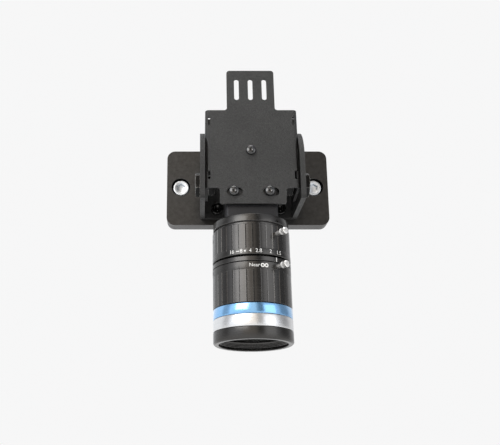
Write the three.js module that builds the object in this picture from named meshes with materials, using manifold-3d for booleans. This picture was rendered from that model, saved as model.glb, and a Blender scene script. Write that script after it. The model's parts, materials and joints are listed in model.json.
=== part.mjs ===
// Machine-vision camera with a C-mount lens, held in a tilting bracket on a base plate.
// Millimetres, +Z up, -Y towards the front. Origin: centre of the base plate's back face.
import * as THREE from 'three';
import { mergeVertices } from 'three/addons/utils/BufferGeometryUtils.js';
import Module from 'manifold-3d';

const wasm = await Module();
wasm.setup();

// ---------------------------------------------------------------- driving dimensions

const gap = { seat: 0.3, running: 0.35, screw: 0.3, bracket: 0.5, slide: 0.4, contact: 0.1 };
const plate = { width: 100, height: 48.4, thickness: 10, corner: 5, chamfer: 0.5 };
const plateBolt = {
  spacing: 82.6, height: 0.4, shankRadius: 3, headRadius: 4.9, headHeight: 6,
  recess: 1.6, boreRadius: 5.6, behindPlate: 8, socketAcross: 5, socketDepth: 3,
};
const pivot = { rearClearance: 3.8, height: -6.5, shankRadius: 3, restTilt: 3.5 };
const sheet = { yoke: 2.5, carrier: 1.5, camera: 1.8 };
const yoke = {
  beyondPivot: 20.8, bottom: -20.8, earRadius: 23, earCentreHeight: 2, frontCorner: 2, bend: 3,
  screwSpacing: 38.4, screwLow: -15.4, screwHigh: 19.4,
};
const yokeScrew = {
  shankRadius: 2, headRadius: 3.5, headHeight: 4, length: 9, socketAcross: 3, socketDepth: 2,
  holeBeyond: 1.5,
};
const pivotBolt = { headAcross: 13, headHeight: 2.8, length: 9, washerRadius: 7, washerHeight: 1.6 };
const pivotNut = { across: 11, height: 4 };
const boltHead = { crownStart: 0.8, crownInset: 0.4, cornerTrim: 0.9 };
const carrier = {
  width: 53, faceForward: 19, back: 9, bottom: -9.3, shoulder: 39.1, bend: 2.2, rearCorner: 8,
  tabWidth: 27.8, tabTop: 65.4, tabCorner: 1.8, footWidth: 37, footBottom: -19, footCorner: 1.5,
  bodyCorner: 0.8,
};
const tabSlot = { pitch: 8.1, width: 2.8, bottom: 45.8, top: 60 };
const footSlot = { pitch: 20.2, height: -12, length: 9, width: 5.1 };
const bendSlit = {
  bottom: 0.5, straightTop: 15.5, top: 23.8, inset: 1.5, strip: 0.6, depth: 3.5, mouthRise: 2,
};
const bendRelief = { inset: 1.4, width: 1.1, lowBottom: -4.4, highBottom: 29.4, length: 5.3, behind: 1.5 };
const cameraScrew = {
  shankRadius: 1.4, headRadius: 2.75, headHeight: 2, length: 4.6, spacing: 20, low: -11.6,
  high: 13.3, socketAcross: 2, socketDepth: 1,
};
const camera = {
  side: 29, sideways: -0.6, padGap: 1.5, front: -25.8, blockDepth: 6, housingTop: 19.5,
  coverThickness: 2.5, corner: 1.5, insideCorner: 0.6, chamfer: 0.6, register: 17.5,
};
const pad = { inset: 0.8, below: 18, belowTop: 1, corner: 1, holeRadius: 2 };
const cMount = { threadRadius: 12.5, threadLength: 4, boreRadius: 12.8, ledge: 1.6, throatRadius: 10.4 };
const jack = {
  width: 16, low: -10.5, high: 1.5, length: 14, sunk: 6.5, wall: 2, mouthLow: -8.6, mouthHigh: -0.8,
  mouthFloor: 5, latchWidth: 4, latchLow: -1.5, latchHigh: 0.6,
};
const power = {
  offset: 7.5, bodyRadius: 4, flangeRadius: 5, lipRadius: 4.6, boreRadius: 3.4, length: 14.2, flangeLow: 10,
  flangeHigh: 12, boreFloor: 7, sunk: 9.7,
};
const board = { clearance: 0.7, thickness: 1.4, behindSensor: 1.8, mainBehind: 9 };
const sensor = {
  width: 16, height: 13, thickness: 1.4, rise: 0.1, glassInset: 1, glassThickness: 0.7, glassGap: 0.9,
};
const filter = { inset: 1.8, thickness: 1, below: 1.5 };
const lens = {
  radius: 21.8, rearStep: 0.4, tubeRadius: 17.2, tubeWall: 2, facets: 18, flatDepth: 0.34, rearLength: 4.2,
  rearGroove: 1.6, grooveDepth: 1.5, ringChamfer: 0.25, throatDepth: 6, throatFlare: 2, tubeFront: 2,
};
const setScrew = { radius: 0.7, holeRadius: 0.9, azimuth: 38, length: 2, sunk: 0.5, behindFace: 3.1 };
const apertureRing = { rear: -31.9, front: -49.3, flatEnd: -45.6 };
const indexRing = { rear: -50.4, front: -52.9 };
const focusRing = { rear: -53.2, front: -75.3, flatStart: -57.8 };
const bands = { blueRear: -75.6, silverRear: -81.3, rimRear: -87.9, front: -94.4, thickness: 1.5 };
const frontBarrel = { noseWall: 3.1, tubeWall: 1.8, tubeRear: -58, step: 2 };
const rim = { wall: 2.9, chamfer: 0.8, lip: 1.6, lipHeight: 1.2, lipSlope: 0.6, rearChamfer: 0.3 };
const glassShapes = {
  front: { behindRim: 3.2, thickness: 2.2, frontBulge: 2.6, rearBulge: 0.6 },
  inner: { front: -68, thickness: 2, frontBulge: 1.2, rearBulge: 1.2 },
  rear: { below: 4, thickness: 2.5, frontBulge: 1.4, rearBulge: 1.6 },
};
const retainer = { width: 1.5, low: 2.4, high: 0.9 };
const lockScrew = {
  azimuth: 36.2, shankRadius: 1.15, headRadius: 1.85, headRise: 3.8, headLength: 3.6, tipGap: 0.85,
  apertureHeight: -36.6, focusHeight: -55.2, holePitch: 120, holeDepth: 2, holeRadius: 1.2, holeGap: 0.25,
  headChamfer: 0.4, slotWidth: 0.6, slotDepth: 0.7,
};
const apertureTravel = { open: -5, closed: 67 };
const iris = {
  blades: 6, pivotInset: 2.5, width: 2.6, span: 112, thickness: 0.2, pitch: 0.42,
  top: -40.2, ringRear: -44.2, ringFront: -46.2, ringGap: 0.6, ringWidth: 1.4,
  pinRadius: 0.8, pinAzimuth: 178, slotMargin: 5, slotWidth: 2.4,
  shelfWidth: 4, shelfAbove: 0.4, shelfThickness: 1.2,
};

// How finely round shapes are divided: full turns, then quarter turns.
const facets = { ring: 36, hollow: 24, screw: 12, pin: 8, corner: 3, earArc: 8 };

// How far cutting tools run past what they cut.
const past = { short: 1, medium: 6, long: 40 };

// Positions that follow from the sizes above.
const radians = THREE.MathUtils.degToRad;
const plateFace = -plate.thickness;
const yokeBack = plateFace - gap.contact;
const yokeWebFront = yokeBack - sheet.yoke;
const yokeOuter = carrier.width / 2 + gap.bracket + sheet.yoke;
const faceFront = -carrier.faceForward;
const faceBack = faceFront + sheet.carrier;
const cameraFace = faceBack + camera.padGap;
const cameraCentre = cameraFace + camera.side / 2;
const screwFront = yokeWebFront - gap.contact - yokeScrew.headHeight;
const pivotPlace = screwFront - pivot.rearClearance - (cameraFace + camera.side);
const yokeFront = pivotPlace - yoke.beyondPivot;
const blockTop = camera.front + camera.blockDepth;
const housingBottom = blockTop + gap.seat;
const coverBottom = camera.housingTop + gap.seat;
const coverTop = coverBottom + camera.coverThickness;
const lensRear = camera.front - gap.seat;
const ringBore = lens.tubeRadius + gap.running;
const tubeBore = lens.tubeRadius - lens.tubeWall;
const rearRadius = lens.radius - lens.rearStep;
const flatApothem = lens.radius - lens.flatDepth;
const noseRadius = lens.radius - bands.thickness - gap.seat;
const glassBore = noseRadius - frontBarrel.noseWall;
const innerTube = tubeBore - gap.slide;
const innerBore = innerTube - frontBarrel.tubeWall;
const irisRingOuter = tubeBore - iris.ringGap;
const irisRingMiddle = (iris.ringRear + iris.ringFront) / 2;
const beyondRing = lens.radius + past.short;

// ---------------------------------------------------------------- solid helpers

function solidOf(geometry) {
  const plain = geometry.clone();
  plain.deleteAttribute('normal');
  plain.deleteAttribute('uv');
  const merged = mergeVertices(plain, 1e-4);
  const corners = merged.index.array;
  const faces = [];
  for (let i = 0; i < corners.length; i += 3) {
    const [a, b, c] = [corners[i], corners[i + 1], corners[i + 2]];
    if (a !== b && b !== c && c !== a) faces.push(a, b, c);
  }
  const vertProperties = new Float32Array(merged.attributes.position.array);
  const triVerts = new Uint32Array(faces);
  return new wasm.Manifold(new wasm.Mesh({ numProp: 3, vertProperties, triVerts }));
}

function geometryOf(solid) {
  const mesh = solid.getMesh();
  const geometry = new THREE.BufferGeometry();
  const points = new Float32Array(mesh.vertProperties);
  geometry.setAttribute('position', new THREE.BufferAttribute(points, 3));
  geometry.setIndex(new THREE.BufferAttribute(new Uint32Array(mesh.triVerts), 1));
  return geometry;
}

function cut(geometry, ...tools) {
  let solid = solidOf(geometry);
  for (const tool of tools) solid = solid.subtract(solidOf(tool));
  return geometryOf(solid);
}

function join(geometry, ...others) {
  let solid = solidOf(geometry);
  for (const other of others) solid = solid.add(solidOf(other));
  return geometryOf(solid);
}

function common(geometry, ...others) {
  let solid = solidOf(geometry);
  for (const other of others) solid = solid.intersect(solidOf(other));
  return geometryOf(solid);
}

// ---------------------------------------------------------------- outlines

function rectangle(xMin, xMax, yMin, yMax, radius) {
  const outline = new THREE.Shape();
  outline.moveTo(xMin + radius, yMin);
  outline.lineTo(xMax - radius, yMin);
  outline.absarc(xMax - radius, yMin + radius, radius, -Math.PI / 2, 0, false);
  outline.lineTo(xMax, yMax - radius);
  outline.absarc(xMax - radius, yMax - radius, radius, 0, Math.PI / 2, false);
  outline.lineTo(xMin + radius, yMax);
  outline.absarc(xMin + radius, yMax - radius, radius, Math.PI / 2, Math.PI, false);
  outline.lineTo(xMin, yMin + radius);
  outline.absarc(xMin + radius, yMin + radius, radius, Math.PI, 1.5 * Math.PI, false);
  return outline;
}

function sectorOutline(innerRadius, outerRadius, start, end) {
  const outline = new THREE.Shape();
  outline.absarc(0, 0, outerRadius, start, end, false);
  outline.absarc(0, 0, innerRadius, end, start, true);
  return outline;
}

// A bent sheet seen along its bends: a web at the back or front and two side walls.
function channelOutline(halfWidth, webOuter, wallEnd, thickness, bend) {
  const side = Math.sign(wallEnd - webOuter);
  const inner = Math.max(bend - thickness, 0.4);
  const outline = new THREE.Shape();
  const arcAt = (x, y, radius, from, to) => {
    const steps = facets.corner;
    for (let i = 0; i <= steps; i += 1) {
      const angle = from + ((to - from) * i) / steps;
      outline.lineTo(x + radius * Math.cos(angle), y - side * radius * Math.sin(angle));
    }
  };
  const webInner = webOuter + side * thickness;
  const wall = halfWidth - thickness;
  outline.moveTo(-halfWidth, wallEnd);
  arcAt(-halfWidth + bend, webOuter + side * bend, bend, Math.PI, Math.PI / 2);
  arcAt(halfWidth - bend, webOuter + side * bend, bend, Math.PI / 2, 0);
  outline.lineTo(halfWidth, wallEnd);
  outline.lineTo(wall, wallEnd);
  arcAt(wall - inner, webInner + side * inner, inner, 0, Math.PI / 2);
  arcAt(-wall + inner, webInner + side * inner, inner, Math.PI / 2, Math.PI);
  outline.lineTo(-wall, wallEnd);
  outline.closePath();
  return outline;
}

// ---------------------------------------------------------------- basic bodies

// Extrusion along +Z from zero, with chamfered ends where asked.
function slab(outline, thickness, chamfer = 0, curveSegments = facets.corner) {
  const geometry = new THREE.ExtrudeGeometry(outline, {
    depth: thickness - 2 * chamfer,
    curveSegments,
    bevelEnabled: chamfer > 0,
    bevelThickness: chamfer,
    bevelSize: chamfer,
    bevelOffset: -chamfer,
    bevelSegments: 1,
  });
  return geometry.translate(0, 0, chamfer);
}

// A slab whose outline is drawn as seen from the front, its back face at y = back.
function frontSlab(outline, thickness, back, chamfer = 0, curveSegments = facets.corner) {
  return slab(outline, thickness, chamfer, curveSegments).rotateX(Math.PI / 2).translate(0, back, 0);
}

// A slab whose outline is drawn in Y and Z, running along X from -halfWidth to +halfWidth.
function sideSlab(outline, halfWidth, curveSegments) {
  const turn = new THREE.Matrix4().makeBasis(
    new THREE.Vector3(0, 1, 0),
    new THREE.Vector3(0, 0, 1),
    new THREE.Vector3(1, 0, 0),
  );
  return slab(outline, 2 * halfWidth, 0, curveSegments).translate(0, 0, -halfWidth).applyMatrix4(turn);
}

// A cylinder along +Z from zero.
function rod(radius, length, segments = facets.screw) {
  return new THREE.CylinderGeometry(radius, radius, length, segments)
    .rotateX(Math.PI / 2)
    .translate(0, 0, length / 2);
}

function rodAlongY(radius, length, x, z, start) {
  return rod(radius, length).rotateX(-Math.PI / 2).translate(x, start, z);
}

function rodAlongX(radius, length, y, z, start) {
  return rod(radius, length).rotateY(Math.PI / 2).translate(start, y, z);
}

// A body turned about Z. The profile lists [radius, height] from the bottom up the outside.
function turned(profile, segments = facets.ring) {
  const points = profile.map(([radius, height]) => new THREE.Vector2(radius, height));
  return new THREE.LatheGeometry(points, segments).rotateX(Math.PI / 2);
}

function ringProfile(inner, outer, bottom, top, chamfer = 0) {
  if (chamfer === 0) {
    return [[inner, bottom], [outer, bottom], [outer, top], [inner, top], [inner, bottom]];
  }
  return [
    [inner, bottom], [outer - chamfer, bottom], [outer, bottom + chamfer],
    [outer, top - chamfer], [outer - chamfer, top], [inner, top], [inner, bottom],
  ];
}

function hexagon(across, height) {
  return new THREE.CylinderGeometry(across / Math.sqrt(3), across / Math.sqrt(3), height, 6)
    .rotateX(Math.PI / 2)
    .translate(0, 0, height / 2);
}

// A rod that crosses a ring's wall along a radius, at the given azimuth and height.
function radialRod(radius, from, to, azimuth, height) {
  return rod(radius, to - from, facets.pin)
    .translate(0, 0, from)
    .rotateX(Math.PI / 2)
    .rotateZ(radians(azimuth))
    .translate(0, 0, height);
}

// ---------------------------------------------------------------- screws

// Seat at z = 0, head above it, shank below it.
function capScrew(size, length) {
  const chamfer = 0.1 * size.headHeight;
  const body = turned([
    [0, -length], [size.shankRadius, -length], [size.shankRadius, 0], [size.headRadius, 0],
    [size.headRadius, size.headHeight - chamfer], [size.headRadius - chamfer, size.headHeight],
    [0, size.headHeight],
  ], facets.screw);
  const socket = hexagon(size.socketAcross, size.socketDepth + 1);
  return cut(body, socket.translate(0, 0, size.headHeight - size.socketDepth));
}

function panScrew(size) {
  const profile = [[0, -size.length], [size.shankRadius, -size.length], [size.shankRadius, 0]];
  const crown = 0.45 * size.headHeight;
  profile.push([size.headRadius, 0], [size.headRadius, size.headHeight - crown]);
  for (let step = 1; step <= 3; step += 1) {
    const angle = (step * Math.PI) / 8;
    const radius = size.headRadius * Math.cos(angle);
    profile.push([radius, size.headHeight - crown + crown * Math.sin(angle)]);
  }
  profile.push([0, size.headHeight]);
  const socket = hexagon(size.socketAcross, size.socketDepth + 1);
  return cut(turned(profile, facets.screw), socket.translate(0, 0, size.headHeight - size.socketDepth));
}

function hexBolt(size, shankRadius, start) {
  const head = hexagon(size.headAcross, size.headHeight);
  const corner = size.headAcross / 2 + boltHead.cornerTrim;
  const crown = size.headAcross / 2 - boltHead.crownInset;
  const round = turned([
    [0, 0], [corner, 0], [corner, size.headHeight - boltHead.crownStart], [crown, size.headHeight],
    [0, size.headHeight],
  ], facets.hollow);
  const shank = rod(shankRadius, size.length + 0.5).translate(0, 0, -size.length);
  return join(common(head, round), shank).translate(0, 0, start);
}

// ---------------------------------------------------------------- base and yoke

function basePlate() {
  const outline = rectangle(-plate.width / 2, plate.width / 2, -plate.height / 2, plate.height / 2,
    plate.corner);
  const floor = -plate.thickness + plateBolt.recess + plateBolt.headHeight + gap.seat;
  const tools = [];
  for (const side of [-1, 1]) {
    const x = (side * plateBolt.spacing) / 2;
    tools.push(rodAlongY(plateBolt.boreRadius, plate.thickness, x, plateBolt.height, floor - plate.thickness));
    tools.push(rodAlongY(plateBolt.shankRadius + gap.screw, past.long, x, plateBolt.height, -past.long / 2));
    const screwX = (side * yoke.screwSpacing) / 2;
    const depth = yokeScrew.length - sheet.yoke + yokeScrew.holeBeyond;
    for (const height of [yoke.screwLow, yoke.screwHigh]) {
      tools.push(rodAlongY(yokeScrew.shankRadius + gap.screw, depth + past.short, screwX, height,
        plateFace - past.short));
    }
  }
  return cut(frontSlab(outline, plate.thickness, 0, plate.chamfer, 4), ...tools);
}

function yokeBody() {
  const channel = channelOutline(yokeOuter, yokeBack, yokeFront, sheet.yoke, yoke.bend);
  const earTop = yoke.earCentreHeight + yoke.earRadius;
  const bent = slab(channel, earTop - yoke.bottom).translate(0, 0, yoke.bottom);
  const ear = new THREE.Shape();
  ear.moveTo(yokeBack + 1, yoke.bottom);
  ear.lineTo(yokeBack + 1, earTop);
  ear.lineTo(yokeFront + yoke.earRadius, earTop);
  ear.absarc(yokeFront + yoke.earRadius, yoke.earCentreHeight, yoke.earRadius, Math.PI / 2, Math.PI, false);
  ear.lineTo(yokeFront, yoke.bottom + yoke.frontCorner);
  ear.absarc(yokeFront + yoke.frontCorner, yoke.bottom + yoke.frontCorner, yoke.frontCorner,
    Math.PI, 1.5 * Math.PI, false);
  const tools = [
    rodAlongX(pivot.shankRadius + gap.screw, 2 * past.long, pivotPlace, pivot.height, -past.long),
  ];
  for (const side of [-1, 1]) {
    for (const height of [yoke.screwLow, yoke.screwHigh]) {
      const x = (side * yoke.screwSpacing) / 2;
      tools.push(rodAlongY(yokeScrew.shankRadius + gap.screw, 2 * past.medium, x, height,
        yokeBack - past.medium));
    }
  }
  return cut(common(bent, sideSlab(ear, yokeOuter + 1, facets.earArc)), ...tools);
}

// ---------------------------------------------------------------- carrier

function carrierBody() {
  const half = carrier.width / 2;
  const channel = channelOutline(half, faceFront, carrier.back, sheet.carrier, carrier.bend);
  const bent = slab(channel, carrier.tabTop - carrier.footBottom).translate(0, 0, carrier.footBottom);
  const halfTab = carrier.tabWidth / 2;
  const halfFoot = carrier.footWidth / 2;
  const inside = carrier.bottom + past.medium;
  const body = rectangle(-half, half, carrier.bottom, carrier.shoulder, carrier.bodyCorner);
  const tab = rectangle(-halfTab, halfTab, inside, carrier.tabTop, carrier.tabCorner);
  const foot = rectangle(-halfFoot, halfFoot, carrier.footBottom, inside, carrier.footCorner);
  const [whole, ...parts] = [body, tab, foot].map(
    (outline) => frontSlab(outline, past.long, carrier.back + past.short),
  );
  const front = join(whole, ...parts);
  const side = new THREE.Shape();
  const sideBottom = carrier.footBottom - past.short;
  const sideTop = carrier.tabTop + past.short;
  side.moveTo(faceFront - past.short, sideBottom);
  side.lineTo(faceFront + carrier.bend, sideBottom);
  side.lineTo(faceFront + carrier.bend, carrier.bottom);
  side.absarc(carrier.back - carrier.rearCorner, carrier.bottom + carrier.rearCorner, carrier.rearCorner,
    1.5 * Math.PI, 2 * Math.PI, false);
  side.absarc(carrier.back - carrier.rearCorner, carrier.shoulder - carrier.rearCorner, carrier.rearCorner,
    0, Math.PI / 2, false);
  side.lineTo(faceFront + carrier.bend, carrier.shoulder);
  side.lineTo(faceFront + carrier.bend, sideTop);
  side.lineTo(faceFront - past.short, sideTop);
  const tools = [rodAlongX(pivot.shankRadius + gap.screw, 2 * past.long, 0, 0, -past.long)];
  const slotDepth = sheet.carrier + bendRelief.behind + past.short;
  const slot = (outline) => frontSlab(outline, slotDepth, faceBack + bendRelief.behind);
  for (const step of [-1, 0, 1]) {
    const x = step * tabSlot.pitch;
    const halfSlot = tabSlot.width / 2;
    tools.push(slot(rectangle(x - halfSlot, x + halfSlot, tabSlot.bottom, tabSlot.top, halfSlot - 0.01)));
  }
  tools.push(rodAlongY(cameraScrew.shankRadius + gap.screw, past.medium, camera.sideways, cameraScrew.high,
    faceFront - past.short));
  for (const hand of [-1, 1]) {
    const x = (hand * footSlot.pitch) / 2;
    const halfLength = footSlot.length / 2;
    const halfSlot = footSlot.width / 2;
    tools.push(slot(rectangle(x - halfLength, x + halfLength, footSlot.height - halfSlot,
      footSlot.height + halfSlot, halfSlot - 0.01)));
    tools.push(frontSlab(slitOutline(half, hand), bendSlit.depth + past.short, faceFront + bendSlit.depth));
    const reliefOuter = half - bendRelief.inset;
    const reliefInner = reliefOuter - bendRelief.width;
    for (const bottom of [bendRelief.lowBottom, bendRelief.highBottom]) {
      const [from, to] = hand < 0 ? [-reliefOuter, -reliefInner] : [reliefInner, reliefOuter];
      tools.push(slot(rectangle(from, to, bottom, bottom + bendRelief.length, 0.3)));
    }
  }
  return cut(common(bent, front, sideSlab(side, half + 1, facets.corner)), ...tools);
}

// The slit that opens each bend beside the ear, wide at the top where it runs out of the sheet.
function slitOutline(half, hand) {
  const inner = half - bendSlit.inset;
  const outer = half - bendSlit.strip;
  const mouth = half + gap.seat;
  const outline = new THREE.Shape();
  outline.moveTo(hand * inner, bendSlit.bottom);
  outline.lineTo(hand * inner, bendSlit.straightTop);
  outline.quadraticCurveTo(hand * inner, 0.5 * (bendSlit.straightTop + bendSlit.top),
    hand * mouth, bendSlit.top);
  outline.lineTo(hand * mouth, bendSlit.straightTop + bendSlit.mouthRise);
  outline.lineTo(hand * outer, bendSlit.straightTop);
  outline.lineTo(hand * outer, bendSlit.bottom);
  outline.closePath();
  return outline;
}

// ---------------------------------------------------------------- camera

// Camera pieces are drawn about the lens axis, front down.
function cameraSquare(inset, corner) {
  const half = camera.side / 2 - inset;
  return rectangle(-half, half, -half, half, corner);
}

function screwPlaces() {
  const half = cameraScrew.spacing / 2;
  return [[-half, cameraScrew.low], [half, cameraScrew.low], [0, cameraScrew.high]];
}

function housing() {
  const height = camera.housingTop - housingBottom;
  const shell = slab(cameraSquare(0, camera.corner), height, camera.chamfer, 2);
  const hollow = slab(cameraSquare(sheet.camera, camera.insideCorner), height + 2 * past.short, 0, 2);
  const tools = [hollow.translate(0, 0, -past.short)];
  for (const [x, place] of screwPlaces()) {
    tools.push(rodAlongY(cameraScrew.shankRadius + gap.screw, sheet.camera + 2 * past.short, x,
      place - housingBottom, -camera.side / 2 - past.short));
  }
  return cut(shell, ...tools).translate(0, 0, housingBottom);
}

function frontBlock() {
  const block = slab(cameraSquare(0, camera.corner), camera.blockDepth, camera.chamfer, 2);
  const bore = rod(cMount.boreRadius, camera.blockDepth, facets.ring);
  const through = rod(cMount.boreRadius - cMount.ledge, camera.blockDepth + 2 * past.short, facets.ring);
  for (const tool of [bore, through]) tool.translate(0, 0, -past.short);
  return cut(block, bore, through).translate(0, 0, camera.front);
}

function rearCover() {
  const cover = slab(cameraSquare(0, camera.corner), camera.coverThickness, camera.chamfer, 2);
  const jackHalf = jack.width / 2 + gap.seat;
  const opening = rectangle(-jackHalf, jackHalf, jack.low - gap.seat, jack.high + gap.seat, 0.3);
  const jackHole = slab(opening, past.medium, 0, 1).translate(0, 0, -past.short);
  const powerHole = rod(power.bodyRadius + gap.seat, past.medium).translate(0, power.offset, -past.short);
  return cut(cover, jackHole, powerHole).translate(0, 0, coverBottom);
}

function dataSocket() {
  const half = jack.width / 2;
  const mouthHalf = half - jack.wall;
  const latchHalf = jack.latchWidth / 2;
  const body = slab(rectangle(-half, half, jack.low, jack.high, 0.4), jack.length, 0.3, 1);
  const mouth = slab(rectangle(-mouthHalf, mouthHalf, jack.mouthLow, jack.mouthHigh, 0.2), jack.length, 0, 1);
  const latch = slab(rectangle(-latchHalf, latchHalf, jack.latchLow, jack.latchHigh, 0.1), jack.length, 0, 1);
  for (const tool of [mouth, latch]) tool.translate(0, 0, jack.mouthFloor);
  return cut(body, mouth, latch).translate(0, 0, coverTop - jack.sunk);
}

function powerSocket() {
  const shell = turned([
    [0, 0], [power.bodyRadius, 0], [power.bodyRadius, power.flangeLow], [power.flangeRadius, power.flangeLow],
    [power.flangeRadius, power.flangeHigh], [power.lipRadius, power.length],
    [power.boreRadius, power.length], [power.boreRadius, power.boreFloor], [0, power.boreFloor],
  ], facets.screw);
  return shell.translate(0, power.offset, coverTop - power.sunk);
}

function sensorParts() {
  const face = camera.front + camera.register;
  const boardSquare = cameraSquare(sheet.camera + board.clearance, 0.5);
  const plateOf = (width, height, thickness) => slab(
    rectangle(-width / 2, width / 2, -height / 2, height / 2, 0.3), thickness, 0, 1,
  );
  const chip = plateOf(sensor.width, sensor.height, sensor.thickness);
  const cover = plateOf(sensor.width - 2 * sensor.glassInset, sensor.height - 2 * sensor.glassInset,
    sensor.glassThickness);
  const disc = rod(cMount.boreRadius - filter.inset, filter.thickness, facets.hollow);
  return {
    sensor_board: slab(boardSquare, board.thickness, 0, 1).translate(0, 0, face + board.behindSensor),
    image_sensor: chip.translate(0, 0, face + sensor.rise),
    sensor_window: cover.translate(0, 0, face - sensor.glassGap),
    main_board: slab(boardSquare, board.thickness, 0, 1).translate(0, 0, face + board.mainBehind),
    filter_glass: disc.translate(0, 0, housingBottom - filter.below),
  };
}

// ---------------------------------------------------------------- lens

function lensMount() {
  const ringFront = lensRear - lens.rearLength;
  const groove = ringFront - lens.rearGroove + gap.running;
  const grooveRadius = lens.radius - lens.grooveDepth;
  const tubeEnd = indexRing.rear + gap.seat;
  const threadTop = lensRear + cMount.threadLength;
  const throatFront = lensRear - lens.throatDepth;
  const body = turned([
    [tubeBore, tubeEnd], [lens.tubeRadius, tubeEnd], [lens.tubeRadius, groove], [grooveRadius, groove],
    [grooveRadius, ringFront], [rearRadius, ringFront], [rearRadius, lensRear - 2.2],
    [rearRadius - 0.7, lensRear - 0.8], [rearRadius - 2.2, lensRear], [cMount.threadRadius, lensRear],
    [cMount.threadRadius, threadTop], [cMount.throatRadius, threadTop], [cMount.throatRadius, throatFront],
    [tubeBore, throatFront - lens.throatFlare], [tubeBore, tubeEnd],
  ], facets.ring);
  const slotStart = radians(iris.pinAzimuth + apertureTravel.open - iris.slotMargin - 90);
  const slotEnd = radians(iris.pinAzimuth + apertureTravel.closed + iris.slotMargin - 90);
  const window = slab(sectorOutline(tubeBore - past.short, lens.tubeRadius + past.short, slotStart, slotEnd),
    iris.slotWidth, 0, 10).translate(0, 0, irisRingMiddle - iris.slotWidth / 2);
  const screwHole = radialRod(setScrew.holeRadius, rearRadius - setScrew.sunk - setScrew.length - gap.seat,
    beyondRing, setScrew.azimuth, lensRear - setScrew.behindFace);
  const shelf = turned(ringProfile(tubeBore - iris.shelfWidth, tubeBore + 0.5, iris.top + iris.shelfAbove,
    iris.top + iris.shelfAbove + iris.shelfThickness), facets.ring);
  return cut(join(body, shelf), window, screwHole);
}

function mountSetScrew() {
  const end = rearRadius - setScrew.sunk;
  return radialRod(setScrew.radius, end - setScrew.length, end, setScrew.azimuth,
    lensRear - setScrew.behindFace);
}

// A turning ring with milled flats over part of its length and plain threaded holes around it.
function grippedRing(rear, front, flatFrom, flatTo, holeHeight) {
  const flatBottom = Math.min(flatFrom, flatTo);
  const flatTop = Math.max(flatFrom, flatTo);
  const outside = lens.radius + past.short;
  const slope = past.short + lens.flatDepth;
  const body = turned(ringProfile(ringBore, lens.radius, front, rear, lens.ringChamfer), facets.ring);
  const cutter = turned([
    [flatApothem, flatBottom], [outside, flatBottom - slope], [outside, flatTop + slope],
    [flatApothem, flatTop], [flatApothem, flatBottom],
  ], facets.ring);
  const core = new THREE.CylinderGeometry(lens.radius, lens.radius, 2 * past.long, lens.facets, 1)
    .rotateX(Math.PI / 2)
    .rotateZ(Math.PI / lens.facets)
    .translate(0, 0, (rear + front) / 2);
  const removed = solidOf(cutter).subtract(solidOf(core));
  let solid = solidOf(body).subtract(removed);
  for (const step of [1, 2]) {
    const azimuth = lockScrew.azimuth - step * lockScrew.holePitch;
    const hole = radialRod(lockScrew.holeRadius, lens.radius - lockScrew.holeDepth, beyondRing, azimuth,
      holeHeight);
    solid = solid.subtract(solidOf(hole));
  }
  const clearance = radialRod(lockScrew.shankRadius + lockScrew.holeGap, ringBore - past.short, beyondRing,
    lockScrew.azimuth, holeHeight);
  return geometryOf(solid.subtract(solidOf(clearance)));
}

function indexTube() {
  const tubeFront = focusRing.front + lens.tubeFront;
  return turned([
    [tubeBore, tubeFront], [lens.tubeRadius, tubeFront], [lens.tubeRadius, indexRing.front],
    [lens.radius - 0.1, indexRing.front], [lens.radius, indexRing.front + 0.15],
    [lens.radius, indexRing.rear - 0.2], [lens.radius - 0.2, indexRing.rear],
    [tubeBore, indexRing.rear], [tubeBore, tubeFront],
  ], facets.ring);
}

function frontBarrelBody() {
  const front = bands.rimRear + gap.seat;
  const shoulder = bands.blueRear - frontBarrel.step;
  return turned([
    [glassBore, front], [noseRadius, front], [noseRadius, bands.blueRear], [innerTube, bands.blueRear],
    [innerTube, frontBarrel.tubeRear], [innerBore, frontBarrel.tubeRear], [innerBore, shoulder],
    [glassBore, shoulder - frontBarrel.step], [glassBore, front],
  ], facets.ring);
}

function outerBand(rear, front) {
  const inner = noseRadius + gap.seat;
  return turned(ringProfile(inner, lens.radius, front + gap.contact, rear - gap.contact), facets.ring);
}

function frontRim() {
  const opening = lens.radius - rim.wall;
  const lipFront = bands.rimRear - rim.lipHeight;
  return turned([
    [opening, bands.front], [lens.radius - rim.chamfer, bands.front],
    [lens.radius, bands.front + rim.chamfer], [lens.radius, bands.rimRear - rim.rearChamfer],
    [lens.radius - rim.rearChamfer, bands.rimRear], [opening - rim.lip, bands.rimRear],
    [opening - rim.lip, lipFront], [opening, lipFront - rim.lipSlope], [opening, bands.front],
  ], facets.ring);
}

// A lens element with its front edge at z = front: domed front and rear faces about the axis.
function glass(radius, front, shape) {
  const steps = 3;
  const rear = front + shape.thickness;
  const profile = [];
  for (let i = 0; i <= steps; i += 1) {
    const share = i / steps;
    profile.push([radius * share, front - shape.frontBulge * (1 - share * share)]);
  }
  for (let i = steps; i >= 0; i -= 1) {
    const share = i / steps;
    profile.push([radius * share, rear + shape.rearBulge * (1 - share * share)]);
  }
  return turned(profile, facets.hollow);
}

function thumbScrew() {
  const tip = ringBore + lockScrew.tipGap;
  const headStart = lens.radius + lockScrew.headRise;
  const headEnd = headStart + lockScrew.headLength;
  const body = turned([
    [0, tip], [lockScrew.shankRadius, tip], [lockScrew.shankRadius, headStart],
    [lockScrew.headRadius, headStart], [lockScrew.headRadius, headEnd - lockScrew.headChamfer],
    [lockScrew.headRadius - lockScrew.headChamfer, headEnd], [0, headEnd],
  ], facets.screw);
  const slot = new THREE.BoxGeometry(lockScrew.slotWidth, 4 * lockScrew.headRadius, 2 * lockScrew.slotDepth);
  return cut(body, slot.translate(0, 0, headEnd));
}

function irisPivots() {
  const places = [];
  for (let i = 0; i < iris.blades; i += 1) {
    places.push({ angle: (2 * Math.PI * i) / iris.blades, height: iris.top - i * iris.pitch });
  }
  return places;
}

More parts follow.
